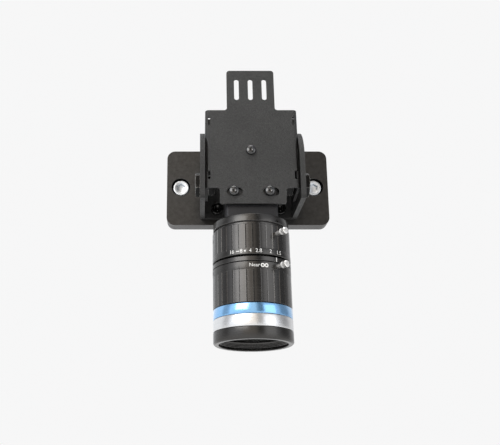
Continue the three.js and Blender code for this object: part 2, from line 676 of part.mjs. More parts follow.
// A curved blade, lying along the tube's wall when the iris is open.
function irisBlade({ angle, height }) {
  const middle = tubeBore - iris.pivotInset;
  const heel = -0.08;
  const outline = sectorOutline(middle - iris.width / 2, middle + iris.width / 2, heel, radians(iris.span));
  return slab(outline, iris.thickness, 0, 9).translate(0, 0, height - iris.thickness).rotateZ(angle);
}

// ---------------------------------------------------------------- materials

const finish = (color, roughness, metalness) => ({ color, roughness, metalness });
const finishes = {
  anodised: finish(0x4a4846, 0.45, 0.6),
  powder: finish(0x2b2b2a, 0.75, 0.1),
  zinc: finish(0xc9ccd0, 0.28, 1),
  blackSteel: finish(0x1c1c1d, 0.35, 0.7),
  lensBlack: finish(0x18181a, 0.35, 0.6),
  blue: finish(0x2f7fc4, 0.25, 0.8),
  satinSilver: finish(0xc8c9cb, 0.4, 0.9),
  cameraGrey: finish(0x3c3d40, 0.45, 0.5),
  steel: finish(0xb9bbbf, 0.25, 1),
  board: finish(0x1f5a36, 0.6, 0),
  plastic: finish(0x151517, 0.5, 0),
  glass: finish(0x8fa6a8, 0.05, 0),
  brass: finish(0x9a7b3e, 0.4, 0.9),
};

function piece(name, geometry, finishName) {
  const mesh = new THREE.Mesh(geometry, new THREE.MeshStandardMaterial(finishes[finishName]));
  mesh.name = name;
  return mesh;
}

// ---------------------------------------------------------------- assembly

const object = new THREE.Group();
const tilted = new THREE.Group();
tilted.position.set(0, pivotPlace, pivot.height);
tilted.rotation.x = -radians(pivot.restTilt);
const cameraGroup = new THREE.Group();
cameraGroup.position.set(camera.sideways, cameraCentre, 0);
tilted.add(cameraGroup);
object.add(tilted);

// A screw that enters from the front: its head faces -Y.
function fromFront(mesh, x, y, z) {
  mesh.rotation.x = Math.PI / 2;
  mesh.position.set(x, y, z);
  return mesh;
}

const hands = [['left', -1], ['right', 1]];

object.add(piece('base_plate', basePlate(), 'anodised'));
object.add(piece('yoke', yokeBody(), 'powder'));
for (const [hand, side] of hands) {
  const seat = -plate.thickness + plateBolt.recess + plateBolt.headHeight;
  const bolt = piece(`mount_bolt_${hand}`, capScrew(plateBolt, -seat + plateBolt.behindPlate), 'zinc');
  object.add(fromFront(bolt, (side * plateBolt.spacing) / 2, seat, plateBolt.height));
  for (const [level, height] of [['lower', yoke.screwLow], ['upper', yoke.screwHigh]]) {
    const screw = piece(`yoke_screw_${level}_${hand}`, capScrew(yokeScrew, yokeScrew.length), 'blackSteel');
    object.add(fromFront(screw, (side * yoke.screwSpacing) / 2, yokeWebFront - gap.contact, height));
  }
}

// Pivot hardware: the bolts clamp each ear, and the nuts are fixed inside the carrier's walls.
for (const [hand, side] of hands) {
  const washerHeight = side > 0 ? pivotBolt.washerHeight + gap.seat : 0;
  const size = { ...pivotBolt, length: pivotBolt.length + washerHeight };
  const shape = hexBolt(size, pivot.shankRadius, washerHeight + gap.contact);
  const bolt = piece(`pivot_bolt_${hand}`, shape, 'blackSteel');
  bolt.rotation.y = (side * Math.PI) / 2;
  bolt.position.set(side * yokeOuter, pivotPlace, pivot.height);
  object.add(bolt);
  const nutBore = rod(pivot.shankRadius + gap.screw, pivotNut.height + 2 * past.short);
  const nutShape = cut(hexagon(pivotNut.across, pivotNut.height), nutBore.translate(0, 0, -past.short));
  const nut = piece(`pivot_nut_${hand}`, nutShape, 'blackSteel');
  nut.rotation.y = (-side * Math.PI) / 2;
  nut.position.set(side * (carrier.width / 2 - sheet.carrier - gap.seat), 0, 0);
  tilted.add(nut);
}
const washerBore = rod(pivot.shankRadius + gap.screw, past.medium).translate(0, 0, -past.short);
const washerDisc = rod(pivotBolt.washerRadius, pivotBolt.washerHeight, facets.hollow);
const washer = piece('pivot_washer', cut(washerDisc, washerBore), 'blackSteel');
washer.rotation.y = Math.PI / 2;
washer.position.set(yokeOuter + gap.contact, pivotPlace, pivot.height);
object.add(washer);

tilted.add(piece('carrier', carrierBody(), 'powder'));
const padHalf = camera.side / 2 - pad.inset;
const padOutline = rectangle(-padHalf, padHalf, -pad.below, camera.housingTop - pad.belowTop, pad.corner);
const padThickness = camera.padGap - 2 * gap.seat;
const padHoles = screwPlaces().map(
  ([x, height]) => rodAlongY(pad.holeRadius, past.medium, x, height, -past.medium / 2),
);
const padMesh = piece('camera_pad', cut(frontSlab(padOutline, padThickness, padThickness / 2), ...padHoles),
  'plastic');
padMesh.position.set(camera.sideways, faceBack + camera.padGap / 2, 0);
tilted.add(padMesh);
for (const [index, [x, height]] of screwPlaces().entries()) {
  const name = `camera_screw_${['left', 'right', 'top'][index]}`;
  const screw = piece(name, panScrew(cameraScrew), 'blackSteel');
  tilted.add(fromFront(screw, camera.sideways + x, faceFront - gap.contact, height));
}

cameraGroup.add(piece('camera_housing', housing(), 'cameraGrey'));
cameraGroup.add(piece('front_block', frontBlock(), 'cameraGrey'));
cameraGroup.add(piece('rear_cover', rearCover(), 'cameraGrey'));
cameraGroup.add(piece('data_socket', dataSocket(), 'steel'));
cameraGroup.add(piece('power_socket', powerSocket(), 'steel'));
const sensorFinish = {
  sensor_board: 'board', image_sensor: 'plastic', sensor_window: 'glass', main_board: 'board',
  filter_glass: 'glass',
};
for (const [name, geometry] of Object.entries(sensorParts())) {
  cameraGroup.add(piece(name, geometry, sensorFinish[name]));
}

cameraGroup.add(piece('lens_mount', lensMount(), 'lensBlack'));
cameraGroup.add(piece('mount_set_screw', mountSetScrew(), 'blackSteel'));
cameraGroup.add(piece('index_tube', indexTube(), 'lensBlack'));
cameraGroup.add(piece('aperture_ring', grippedRing(apertureRing.rear, apertureRing.front,
  apertureRing.rear + 2, apertureRing.flatEnd, lockScrew.apertureHeight), 'lensBlack'));
cameraGroup.add(piece('focus_ring', grippedRing(focusRing.rear, focusRing.front,
  focusRing.flatStart, focusRing.front - 2, lockScrew.focusHeight), 'lensBlack'));
for (const [name, height] of [['aperture', lockScrew.apertureHeight], ['focus', lockScrew.focusHeight]]) {
  const screw = piece(`${name}_lock_screw`, thumbScrew().rotateX(Math.PI / 2), 'steel');
  screw.rotation.z = radians(lockScrew.azimuth);
  screw.position.z = height;
  cameraGroup.add(screw);
}

cameraGroup.add(piece('front_barrel', frontBarrelBody(), 'lensBlack'));
cameraGroup.add(piece('blue_band', outerBand(bands.blueRear, bands.silverRear), 'blue'));
cameraGroup.add(piece('silver_band', outerBand(bands.silverRear, bands.rimRear), 'satinSilver'));
cameraGroup.add(piece('front_rim', frontRim(), 'lensBlack'));

const frontGlassPlace = bands.rimRear + glassShapes.front.behindRim;
const frontGlass = glass(glassBore - gap.seat, frontGlassPlace, glassShapes.front);
const innerGlass = glass(innerBore - gap.seat, glassShapes.inner.front, glassShapes.inner);
const rearGlass = glass(cMount.throatRadius - gap.seat, lensRear - glassShapes.rear.below, glassShapes.rear);
const retainerRing = ringProfile(glassBore - gap.seat - retainer.width, glassBore - gap.seat,
  frontGlassPlace - retainer.low, frontGlassPlace - retainer.high);
cameraGroup.add(piece('front_glass', frontGlass, 'glass'));
cameraGroup.add(piece('glass_retainer', turned(retainerRing, facets.hollow), 'lensBlack'));
cameraGroup.add(piece('inner_glass', innerGlass, 'glass'));
cameraGroup.add(piece('rear_glass', rearGlass, 'glass'));

const irisRing = ringProfile(irisRingOuter - iris.ringWidth, irisRingOuter, iris.ringFront, iris.ringRear);
cameraGroup.add(piece('iris_ring', turned(irisRing, facets.hollow), 'brass'));
const irisPin = radialRod(iris.pinRadius, irisRingOuter + gap.contact, ringBore - gap.contact,
  iris.pinAzimuth, irisRingMiddle);
cameraGroup.add(piece('iris_pin', irisPin, 'brass'));
for (const [index, place] of irisPivots().entries()) {
  cameraGroup.add(piece(`iris_blade_${index + 1}`, irisBlade(place), 'blackSteel'));
}

export default object;
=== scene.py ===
"""Looks of a machine-vision camera with a C-mount lens in a tilting bracket.

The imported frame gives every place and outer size. Each sub-assembly below is a class that
rebuilds its visible pieces as fine meshes in millimetres, dresses them and lets them ride
on the frame's bodies. Pieces deep inside keep their frame mesh and get a finish.
"""

import json
import logging
import math
from collections.abc import Callable, Iterable, Sequence
from dataclasses import dataclass
from enum import Enum

import bmesh
import bpy
from mathutils import Matrix, Vector


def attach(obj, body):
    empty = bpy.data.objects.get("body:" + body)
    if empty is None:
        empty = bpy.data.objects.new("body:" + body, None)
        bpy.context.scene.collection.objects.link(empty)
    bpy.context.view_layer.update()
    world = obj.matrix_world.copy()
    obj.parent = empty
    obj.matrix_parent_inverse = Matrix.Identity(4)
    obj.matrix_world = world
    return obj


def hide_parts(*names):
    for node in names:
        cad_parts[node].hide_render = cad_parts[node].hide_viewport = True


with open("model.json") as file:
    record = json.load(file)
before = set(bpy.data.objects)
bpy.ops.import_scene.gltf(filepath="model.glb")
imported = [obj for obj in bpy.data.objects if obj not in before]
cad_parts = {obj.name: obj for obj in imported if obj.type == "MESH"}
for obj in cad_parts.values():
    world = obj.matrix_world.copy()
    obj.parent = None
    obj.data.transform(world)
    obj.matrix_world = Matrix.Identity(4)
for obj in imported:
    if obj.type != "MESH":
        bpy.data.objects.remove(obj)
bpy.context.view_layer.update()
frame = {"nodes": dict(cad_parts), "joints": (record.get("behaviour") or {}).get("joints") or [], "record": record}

log = logging.getLogger("bracket_camera")

MM = 0.001
Point = tuple[float, float]
Color = tuple[float, float, float]
HANDS = ("left", "right")
MOUNT_BOLTS = [f"mount_bolt_{hand}" for hand in HANDS]
YOKE_SCREWS = [f"yoke_screw_{level}_{hand}" for level in ("lower", "upper") for hand in HANDS]


# ---------------------------------------------------------------- places from the frame


def joint_facts(name: str) -> dict:
    """Return the record of one joint.

    Args:
        name: The joint's name.

    Returns:
        The joint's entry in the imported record.
    """
    return next(entry for entry in frame["joints"] if entry["name"] == name)


def axes_at(origin: Vector, outward: Vector, across: Vector) -> Matrix:
    """Return a frame whose Z points outward.

    Args:
        origin: The frame's origin, in millimetres.
        outward: The direction of Z.
        across: A direction that X leans towards.

    Returns:
        A matrix from the new frame to the row frame, in millimetres.
    """
    up = outward.normalized()
    side = (across - up * across.dot(up)).normalized()
    third = up.cross(side)
    turn = Matrix((side, third, up)).transposed().to_4x4()
    return Matrix.Translation(origin) @ turn


@dataclass(frozen=True)
class Extent:
    """The box of a frame node in some frame, in millimetres."""

    low: Vector
    high: Vector

    @property
    def middle(self) -> Vector:
        """Return the box's centre."""
        return (self.low + self.high) / 2

    @property
    def radius(self) -> float:
        """Return half the width along X."""
        return (self.high.x - self.low.x) / 2

    @property
    def height(self) -> float:
        """Return the size along Z."""
        return self.high.z - self.low.z


def measure(node: str, place: Matrix) -> Extent:
    """Measure a node in a given frame.

    Args:
        node: The node's name.
        place: The frame to measure in, as a matrix in millimetres.

    Returns:
        The node's box in that frame.
    """
    back = place.inverted()
    points = [back @ (vertex.co / MM) for vertex in frame["nodes"][node].data.vertices]
    low = Vector(tuple(min(p[i] for p in points) for i in range(3)))
    high = Vector(tuple(max(p[i] for p in points) for i in range(3)))
    return Extent(low, high)


X = Vector((1, 0, 0))
Y = Vector((0, 1, 0))
Z = Vector((0, 0, 1))
BASE = Matrix.Identity(4)
LENS_DIRECTION = Vector(joint_facts("aperture_turn")["axis"])
TILT = axes_at(Vector(joint_facts("head_tilt")["pos_m"]) / MM, LENS_DIRECTION, X)
AXIS_POINT = TILT.inverted() @ (Vector(joint_facts("aperture_turn")["pos_m"]) / MM)
LENS = TILT @ Matrix.Translation((AXIS_POINT.x, AXIS_POINT.y, 0))
TILT_FRONT = TILT.to_3x3() @ -Y


def body_of(node: str) -> str:
    """Return the name of the body that holds a node."""
    bodies = frame["record"]["behaviour"]["bodies"]
    return next(body for body, nodes in bodies.items() if node in nodes)


# ---------------------------------------------------------------- shared shader effects


@dataclass(frozen=True)
class GroupSocket:
    """One input or output of a shader node group."""

    name: str
    kind: str
    value: float | tuple[float, ...] | None = None


def new_group(name: str, inputs: Sequence[GroupSocket], outputs: Sequence[GroupSocket]):
    """Start a shader node group with named sockets.

    Args:
        name: The group's name.
        inputs: Its inputs with their default values.
        outputs: Its outputs.

    Returns:
        The group, its input node and its output node.
    """
    group = bpy.data.node_groups.new(name, "ShaderNodeTree")
    for entries, direction in ((inputs, "INPUT"), (outputs, "OUTPUT")):
        for entry in entries:
            socket = group.interface.new_socket(entry.name, in_out=direction, socket_type=entry.kind)
            if entry.value is not None:
                socket.default_value = entry.value
    start = group.nodes.new("NodeGroupInput")
    end = group.nodes.new("NodeGroupOutput")
    return group, start, end


def math_node(tree: bpy.types.NodeTree, operation: str, first, second=None) -> bpy.types.NodeSocket:
    """Add a Math node.

    Args:
        tree: The node tree.
        operation: The operation's name.
        first: A socket or a number.
        second: A socket, a number or nothing.

    Returns:
        The node's output.
    """
    node = tree.nodes.new("ShaderNodeMath")
    node.operation = operation
    for index, value in enumerate((first, second)):
        if isinstance(value, bpy.types.NodeSocket):
            tree.links.new(value, node.inputs[index])
        elif value is not None:
            node.inputs[index].default_value = value
    return node.outputs[0]


def map_range(tree: bpy.types.NodeTree, value, limits: Sequence, results: Sequence) -> bpy.types.NodeSocket:
    """Add a Map Range node.

    Args:
        tree: The node tree.
        value: The socket to map.
        limits: Lowest and highest input, as sockets or numbers.
        results: The results at these limits, as sockets or numbers.

    Returns:
        The node's output.
    """
    node = tree.nodes.new("ShaderNodeMapRange")
    tree.links.new(value, node.inputs["Value"])
    names = ("From Min", "From Max", "To Min", "To Max")
    for name, entry in zip(names, (*limits, *results)):
        if isinstance(entry, bpy.types.NodeSocket):
            tree.links.new(entry, node.inputs[name])
        else:
            node.inputs[name].default_value = entry
    return node.outputs["Result"]


def noise(tree: bpy.types.NodeTree, vector: bpy.types.NodeSocket, **values) -> bpy.types.NodeSocket:
    """Add a Noise Texture.

    Args:
        tree: The node tree.
        vector: Its coordinates.
        **values: A number or a socket for each named input.

    Returns:
        The node's value.
    """
    node = tree.nodes.new("ShaderNodeTexNoise")
    tree.links.new(vector, node.inputs["Vector"])
    for name, value in values.items():
        if isinstance(value, bpy.types.NodeSocket):
            tree.links.new(value, node.inputs[name])
        else:
            node.inputs[name].default_value = value
    return node.outputs["Fac"]


def millimetres(tree: bpy.types.NodeTree, start: bpy.types.Node) -> bpy.types.NodeSocket:
    """Add the object's own coordinates in millimetres.

    Args:
        tree: A group with a Per Unit input.
        start: The group's input node.

    Returns:
        The coordinates.
    """
    place = tree.nodes.new("ShaderNodeTexCoord")
    scale = tree.nodes.new("ShaderNodeVectorMath")
    scale.operation = "SCALE"
    tree.links.new(place.outputs["Object"], scale.inputs[0])
    tree.links.new(start.outputs["Per Unit"], scale.inputs["Scale"])
    return scale.outputs[0]


def grain_group() -> bpy.types.NodeTree:
    """Build the stretched grain: speckle, brushing or turning lines, by its Stretch.

    Returns:
        A group with Tone and Height outputs, from coordinates in millimetres.
    """
    group, start, end = new_group(
        "Stretched Grain",
        [GroupSocket("Stretch", "NodeSocketVector", (1.0, 1.0, 1.0)),
         GroupSocket("Coarse", "NodeSocketFloat", 0.15),
         GroupSocket("Per Unit", "NodeSocketFloat", 1.0)],
        [GroupSocket("Tone", "NodeSocketFloat"), GroupSocket("Height", "NodeSocketFloat")],
    )
    stretch = group.nodes.new("ShaderNodeVectorMath")
    stretch.operation = "MULTIPLY"
    group.links.new(millimetres(group, start), stretch.inputs[0])
    group.links.new(start.outputs["Stretch"], stretch.inputs[1])
    place = stretch.outputs[0]
    fine = noise(group, place, Scale=1.0, Detail=3.0, Roughness=0.6)
    broad = noise(group, place, Scale=start.outputs["Coarse"], Detail=2.0)
    both = math_node(group, "MULTIPLY", math_node(group, "ADD", fine, broad), 0.5)
    group.links.new(map_range(group, both, (0.3, 0.7), (0.0, 1.0)), end.inputs["Tone"])
    group.links.new(fine, end.inputs["Height"])
    return group


def wear_and_highlight_group() -> bpy.types.NodeTree:
    """Build the edge mask: a narrow line along every edge, broken up by noise. It mixes in rubbed metal on most
    finishes and a painted highlight along the edges of the black oxide steel.

    Returns:
        A group with a Mask output.
    """
    group, start, end = new_group(
        "Edge Rubbing And Highlight",
        [GroupSocket("Breakup", "NodeSocketFloat", 1.2), GroupSocket("Reach", "NodeSocketFloat", 0.35),
         GroupSocket("Per Unit", "NodeSocketFloat", 1.0)],
        [GroupSocket("Mask", "NodeSocketFloat")],
    )
    uneven = noise(group, millimetres(group, start), Scale=start.outputs["Breakup"], Detail=4.0)
    geometry = group.nodes.new("ShaderNodeNewGeometry")
    soft = group.nodes.new("ShaderNodeBevel")
    soft.samples = 4
    group.links.new(math_node(group, "MULTIPLY", start.outputs["Reach"], MM), soft.inputs["Radius"])
    likeness = group.nodes.new("ShaderNodeVectorMath")
    likeness.operation = "DOT_PRODUCT"
    group.links.new(geometry.outputs["Normal"], likeness.inputs[0])
    group.links.new(soft.outputs["Normal"], likeness.inputs[1])
    edge = map_range(group, likeness.outputs["Value"], (0.995, 0.85), (0.0, 1.0))
    broken = map_range(group, uneven, (0.35, 0.65), (0.25, 1.0))
    group.links.new(math_node(group, "MULTIPLY", edge, broken), end.inputs["Mask"])
    return group


def smudge_group() -> bpy.types.NodeTree:
    """Build the handling smudges: slow cloudy changes that disturb the gloss.

    Returns:
        A group with a Mask output.
    """
    group, start, end = new_group(
        "Handling Smudges",
        [GroupSocket("Size", "NodeSocketFloat", 0.06), GroupSocket("Per Unit", "NodeSocketFloat", 1.0)],
        [GroupSocket("Mask", "NodeSocketFloat")],
    )
    cloud = noise(group, millimetres(group, start), Scale=start.outputs["Size"], Detail=5.0,
                  Roughness=0.62, Distortion=0.4)
    group.links.new(map_range(group, cloud, (0.35, 0.7), (0.0, 1.0)), end.inputs["Mask"])
    return group


GRAIN = grain_group()
WEAR_AND_HIGHLIGHT = wear_and_highlight_group()
SMUDGE = smudge_group()


# ---------------------------------------------------------------- finishes


class Grain(Enum):
    """How a surface was worked: the stretch of its grain along X, Y and Z, per millimetre."""

    SPECKLE = (2.4, 2.4, 2.4)
    FINE_SPECKLE = (6.0, 6.0, 6.0)
    BRUSHED_UPRIGHT = (2.6, 2.6, 0.05)
    TURNED = (0.05, 0.05, 9.0)
    CLOUDED = (0.5, 0.5, 0.5)


def place_group(tree: bpy.types.NodeTree, group: bpy.types.NodeTree, **values) -> bpy.types.Node:
    """Place a shared group with its own values.

    Args:
        tree: The material's node tree.
        group: The group to place.
        **values: Input values by socket name.

    Returns:
        The group node.
    """
    node = tree.nodes.new("ShaderNodeGroup")
    node.node_tree = group
    for key, value in values.items():
        node.inputs[key].default_value = value
    return node


def mix_colors(tree: bpy.types.NodeTree, factor, first, second) -> bpy.types.NodeSocket:
    """Mix two colours.

    Args:
        tree: The material's node tree.
        factor: The socket that mixes them.
        first: A colour or a socket, at factor 0.
        second: A colour, at factor 1.

    Returns:
        The mixed colour's socket.
    """
    node = tree.nodes.new("ShaderNodeMix")
    node.data_type = "RGBA"
    tree.links.new(factor, node.inputs["Factor"])
    colors = [entry for entry in node.inputs if entry.type == "RGBA"]
    for socket, value in zip(colors, (first, second)):
        if isinstance(value, bpy.types.NodeSocket):
            tree.links.new(value, socket)
        else:
            socket.default_value = (*value, 1.0)
    return next(entry for entry in node.outputs if entry.type == "RGBA")


@dataclass(frozen=True)
class Surface:
    """What every finish shares: a name, a slot and a material built once for each scale."""

    name: str
    slot: str

    def material(self, per_unit: float = 1.0) -> bpy.types.Material:
        """Return the material, built once for each scale.

        Args:
            per_unit: Millimetres in one unit of the piece's own coordinates.

        Returns:
            The material.
        """
        name = self.name if per_unit == 1.0 else f"{self.name} on frame part"
        made = bpy.data.materials.get(name)
        if made is None:
            made = bpy.data.materials.new(name)
            made.use_nodes = True
            tree = made.node_tree
            self._shade(tree, tree.nodes["Principled BSDF"], {"Per Unit": per_unit})
        return made

    def _shade(self, tree: bpy.types.NodeTree, shader: bpy.types.Node, scale: dict[str, float]) -> None:
        """Set the shader up, in each kind of finish's own way."""
        raise NotImplementedError


@dataclass(frozen=True)
class Finish(Surface):
    """One finish of the object: colours, gloss, grain and rubbed edges, which on the black oxide steel are a
    painted highlight.
    """

    dark: Color
    light: Color
    metallic: float
    gloss: tuple[float, float]
    grain: Grain
    relief: float
    # Edge colour and its strength along the edges: rubbed metal on most finishes, a painted highlight on the black
    # oxide steel.
    worn_and_highlight: Color
    wear_and_highlight: float = 0.3
    coat: float = 0.0
    coat_roughness: float = 0.1
    specular: float = 0.5
    coarse: float = 0.15
    grain_share: float = 0.25

    def _shade(self, tree: bpy.types.NodeTree, shader: bpy.types.Node, scale: dict[str, float]) -> None:
        """Mix the colours, the gloss and the bump from the shared effects."""
        shader.inputs["Metallic"].default_value = self.metallic
        shader.inputs["Specular IOR Level"].default_value = self.specular
        if self.coat > 0:
            shader.inputs["Coat Weight"].default_value = self.coat
            shader.inputs["Coat Roughness"].default_value = self.coat_roughness
        grain = place_group(tree, GRAIN, Stretch=self.grain.value, Coarse=self.coarse, **scale)
        smudge = place_group(tree, SMUDGE, **scale)
        wear_and_highlight = place_group(tree, WEAR_AND_HIGHLIGHT, **scale)
        tone = mix_colors(tree, grain.outputs["Tone"], self.dark, self.light)
        # Edge colour mixed in along every edge: rubbed metal on most finishes, a painted highlight line on the
        # black oxide steel.
        mask = math_node(tree, "MULTIPLY", wear_and_highlight.outputs["Mask"], self.wear_and_highlight)
        color = mix_colors(tree, mask, tone, self.worn_and_highlight)
        tree.links.new(color, shader.inputs["Base Color"])
        low, high = self.gloss
        cloudy = map_range(tree, smudge.outputs["Mask"], (0.0, 1.0), (low, high))
        spread = self.grain_share * (high - low)
        grainy = map_range(tree, grain.outputs["Tone"], (0.0, 1.0), (-spread, spread))
        tree.links.new(math_node(tree, "ADD", cloudy, grainy), shader.inputs["Roughness"])
        bump = tree.nodes.new("ShaderNodeBump")
        bump.inputs["Strength"].default_value = 1.0
        bump.inputs["Distance"].default_value = self.relief * MM
        tree.links.new(grain.outputs["Height"], bump.inputs["Height"])
        tree.links.new(bump.outputs["Normal"], shader.inputs["Normal"])


@dataclass(frozen=True)
class GlassFinish(Surface):
    """Coated optical glass."""

    tint: Color
    ior: float = 1.6
    transmission: float = 0.85
    coat: float = 0.4
    coat_roughness: float = 0.03
    smear_size: float = 0.12
    smear_tone: float = 0.9
    haze: tuple[float, float] = (0.01, 0.05)

    def _shade(self, tree: bpy.types.NodeTree, shader: bpy.types.Node, scale: dict[str, float]) -> None:
        """Set the glass up, with faint smears in its tint and its gloss."""
        shader.inputs["Transmission Weight"].default_value = self.transmission
        shader.inputs["IOR"].default_value = self.ior
        shader.inputs["Coat Weight"].default_value = self.coat
        shader.inputs["Coat Roughness"].default_value = self.coat_roughness
        smear = place_group(tree, SMUDGE, Size=self.smear_size, **scale).outputs["Mask"]
        color = mix_colors(tree, smear, self.tint, tuple(self.smear_tone * c for c in self.tint))
        tree.links.new(color, shader.inputs["Base Color"])
        tree.links.new(map_range(tree, smear, (0.0, 1.0), self.haze), shader.inputs["Roughness"])


class Finishes:
    """The finishes of this object."""

    plate = Finish("Dark anodised plate", "anodised_plate", (0.037, 0.036, 0.0345), (0.06, 0.0585, 0.0565),
                   1.0, (0.34, 0.44), Grain.BRUSHED_UPRIGHT, 0.02, (0.3, 0.3, 0.3), wear_and_highlight=0.35)
    powder = Finish("Black powder coat", "powder_black", (0.003, 0.003, 0.003), (0.027, 0.027, 0.0255),
                    0.0, (0.44, 0.6), Grain.SPECKLE, 0.32, (0.13, 0.13, 0.13), wear_and_highlight=0.4, specular=0.4,
                    coarse=0.6)
    zinc = Finish("Bright zinc", "zinc", (0.6, 0.635, 0.67), (0.72, 0.76, 0.8),
                  0.9, (0.3, 0.4), Grain.CLOUDED, 0.006, (0.8, 0.8, 0.8), wear_and_highlight=0.3)
    # Black oxide steel: its pale edge colour at high strength paints a bright highlight line along every edge of
    # the pivot hardware, nuts and yoke screws.
    black_steel = Finish("Black oxide steel", "black_steel", (0.007, 0.007, 0.007), (0.014, 0.014, 0.014),
                         0.7, (0.2, 0.34), Grain.FINE_SPECKLE, 0.006, (0.62, 0.61, 0.58), wear_and_highlight=0.9,
                         specular=0.3)
    bright_black = Finish("Glossy black screw", "black_steel", (0.05, 0.05, 0.05), (0.09, 0.09, 0.09),
                          0.95, (0.08, 0.16), Grain.FINE_SPECKLE, 0.004, (0.5, 0.5, 0.5), wear_and_highlight=0.5)
    lens = Finish("Black anodised lens", "lens_black", (0.054, 0.0525, 0.051), (0.066, 0.064, 0.0615),
                  0.95, (0.22, 0.3), Grain.TURNED, 0.004, (0.28, 0.28, 0.28), wear_and_highlight=0.3)
    flock = Finish("Matt black inside", "lens_black", (0.008, 0.008, 0.008), (0.014, 0.014, 0.014),
                   0.0, (0.55, 0.75), Grain.TURNED, 0.01, (0.03, 0.03, 0.03))
    blue = Finish("Blue anodised band", "blue_anodised", (0.19, 0.43, 0.73), (0.22, 0.48, 0.81),
                  0.82, (0.15, 0.2), Grain.TURNED, 0.003, (0.6, 0.75, 0.9), wear_and_highlight=0.4, coat=1.0)
    silver = Finish("Satin silver band", "satin_silver", (0.64, 0.645, 0.65), (0.73, 0.735, 0.74),
                    0.95, (0.24, 0.34), Grain.TURNED, 0.004, (0.9, 0.9, 0.9), wear_and_highlight=0.2)
    camera = Finish("Grey camera casting", "camera_grey", (0.024, 0.024, 0.026), (0.034, 0.034, 0.036),
                    0.6, (0.4, 0.52), Grain.FINE_SPECKLE, 0.008, (0.3, 0.3, 0.32), wear_and_highlight=0.4, specular=0.3)
    steel = Finish("Bright steel", "steel", (0.72, 0.71, 0.69), (0.84, 0.83, 0.81),
                   0.9, (0.3, 0.42), Grain.CLOUDED, 0.005, (0.9, 0.9, 0.9), wear_and_highlight=0.3)
    board = Finish("Green circuit board", "board_green", (0.012, 0.08, 0.03), (0.02, 0.13, 0.05),
                   0.0, (0.35, 0.5), Grain.SPECKLE, 0.01, (0.3, 0.35, 0.2))
    plastic = Finish("Black plastic", "black_plastic", (0.012, 0.012, 0.013), (0.02, 0.02, 0.021),
                     0.0, (0.4, 0.55), Grain.FINE_SPECKLE, 0.01, (0.05, 0.05, 0.05))
    brass = Finish("Brass", "brass", (0.55, 0.4, 0.16), (0.66, 0.5, 0.22),
                   1.0, (0.25, 0.4), Grain.CLOUDED, 0.005, (0.8, 0.66, 0.4))
    gold = Finish("Gold contacts", "brass", (0.8, 0.58, 0.22), (0.9, 0.68, 0.3),
                  1.0, (0.15, 0.25), Grain.CLOUDED, 0.002, (0.9, 0.7, 0.4))
    paint = Finish("White dial paint", "lens_black", (0.58, 0.58, 0.56), (0.72, 0.72, 0.7),
                   0.0, (0.4, 0.55), Grain.FINE_SPECKLE, 0.004, (0.6, 0.6, 0.58), wear_and_highlight=0.3)
    glass = GlassFinish("Coated glass", "glass", (0.82, 0.9, 0.88))
    window = GlassFinish("Plain glass", "glass", (0.9, 0.95, 0.95), ior=1.5)


# ---------------------------------------------------------------- meshes


GROOVE_HALF_ANGLE = math.radians(0.3)


def mesh_from(name: str, bm: bmesh.types.BMesh) -> bpy.types.Mesh:
    """Turn a body into a mesh and free the body."""
    mesh = bpy.data.meshes.new(name)
    bm.to_mesh(mesh)
    bm.free()
    return mesh


def linked(name: str, data: bpy.types.ID) -> bpy.types.Object:
    """Add an object with this data to the scene."""
    holder = bpy.data.objects.new(name, data)
    bpy.context.scene.collection.objects.link(holder)
    return holder


def evaluated(holder: bpy.types.Object) -> bmesh.types.BMesh:
    """Return an object's final shape as a body."""
    graph = bpy.context.evaluated_depsgraph_get()
    mesh = bpy.data.meshes.new_from_object(holder.evaluated_get(graph))
    bm = bmesh.new()
    bm.from_mesh(mesh)
    bpy.data.meshes.remove(mesh)
    return bm


@dataclass(frozen=True)
class Station:
    """One ring of a turned body: round, or many-sided where sides is set."""

    radius: float
    height: float
    sides: int = 0
    limit: float = math.inf
    least: float = 0.0
    teeth: int = 0
    tooth_depth: float = 0.0
    groove: float = 0.0

    def at(self, angle: float) -> float:
        """Return the ring's radius at an angle in radians."""
        value = self.radius
        if self.sides:
            step = 2 * math.pi / self.sides
            off = (angle + step / 2) % step - step / 2
            value = self.radius / math.cos(off)
        value = min(self.limit, max(self.least, value))
        if self.groove and step / 2 - abs(off) < GROOVE_HALF_ANGLE:
            value -= self.groove
        if self.teeth:
            wave = 0.5 + 0.5 * math.cos(angle * self.teeth)
            value -= self.tooth_depth * wave
        return value


def turned(profile: Sequence[Station | Point], segments: int = 96, closed: bool = False) -> bmesh.types.BMesh:
    """Turn a profile about Z.

    Args:
        profile: Stations, or plain radius and height pairs, from the bottom up the outside.
        segments: Divisions of the full turn.
        closed: Whether the last station joins the first, as on a ring.

    Returns:
        The body in millimetres.
    """
    bm = bmesh.new()
    rings = []
    for entry in profile:
        station = entry if isinstance(entry, Station) else Station(*entry)
        if station.radius == 0:
            rings.append([bm.verts.new((0, 0, station.height))] * segments)
            continue
        ring = []
        for i in range(segments):
            angle = 2 * math.pi * i / segments
            radius = station.at(angle)
            ring.append(bm.verts.new((radius * math.cos(angle), radius * math.sin(angle), station.height)))
        rings.append(ring)
    pairs = list(zip(rings, rings[1:]))
    if closed:
        pairs.append((rings[-1], rings[0]))
    for lower, upper in pairs:
        for i in range(segments):
            j = (i + 1) % segments
            corners = []
            for vertex in (lower[i], lower[j], upper[j], upper[i]):
                if vertex not in corners:
                    corners.append(vertex)
            if len(corners) > 2:
                bm.faces.new(corners)
    bmesh.ops.recalc_face_normals(bm, faces=bm.faces[:])
    return bm


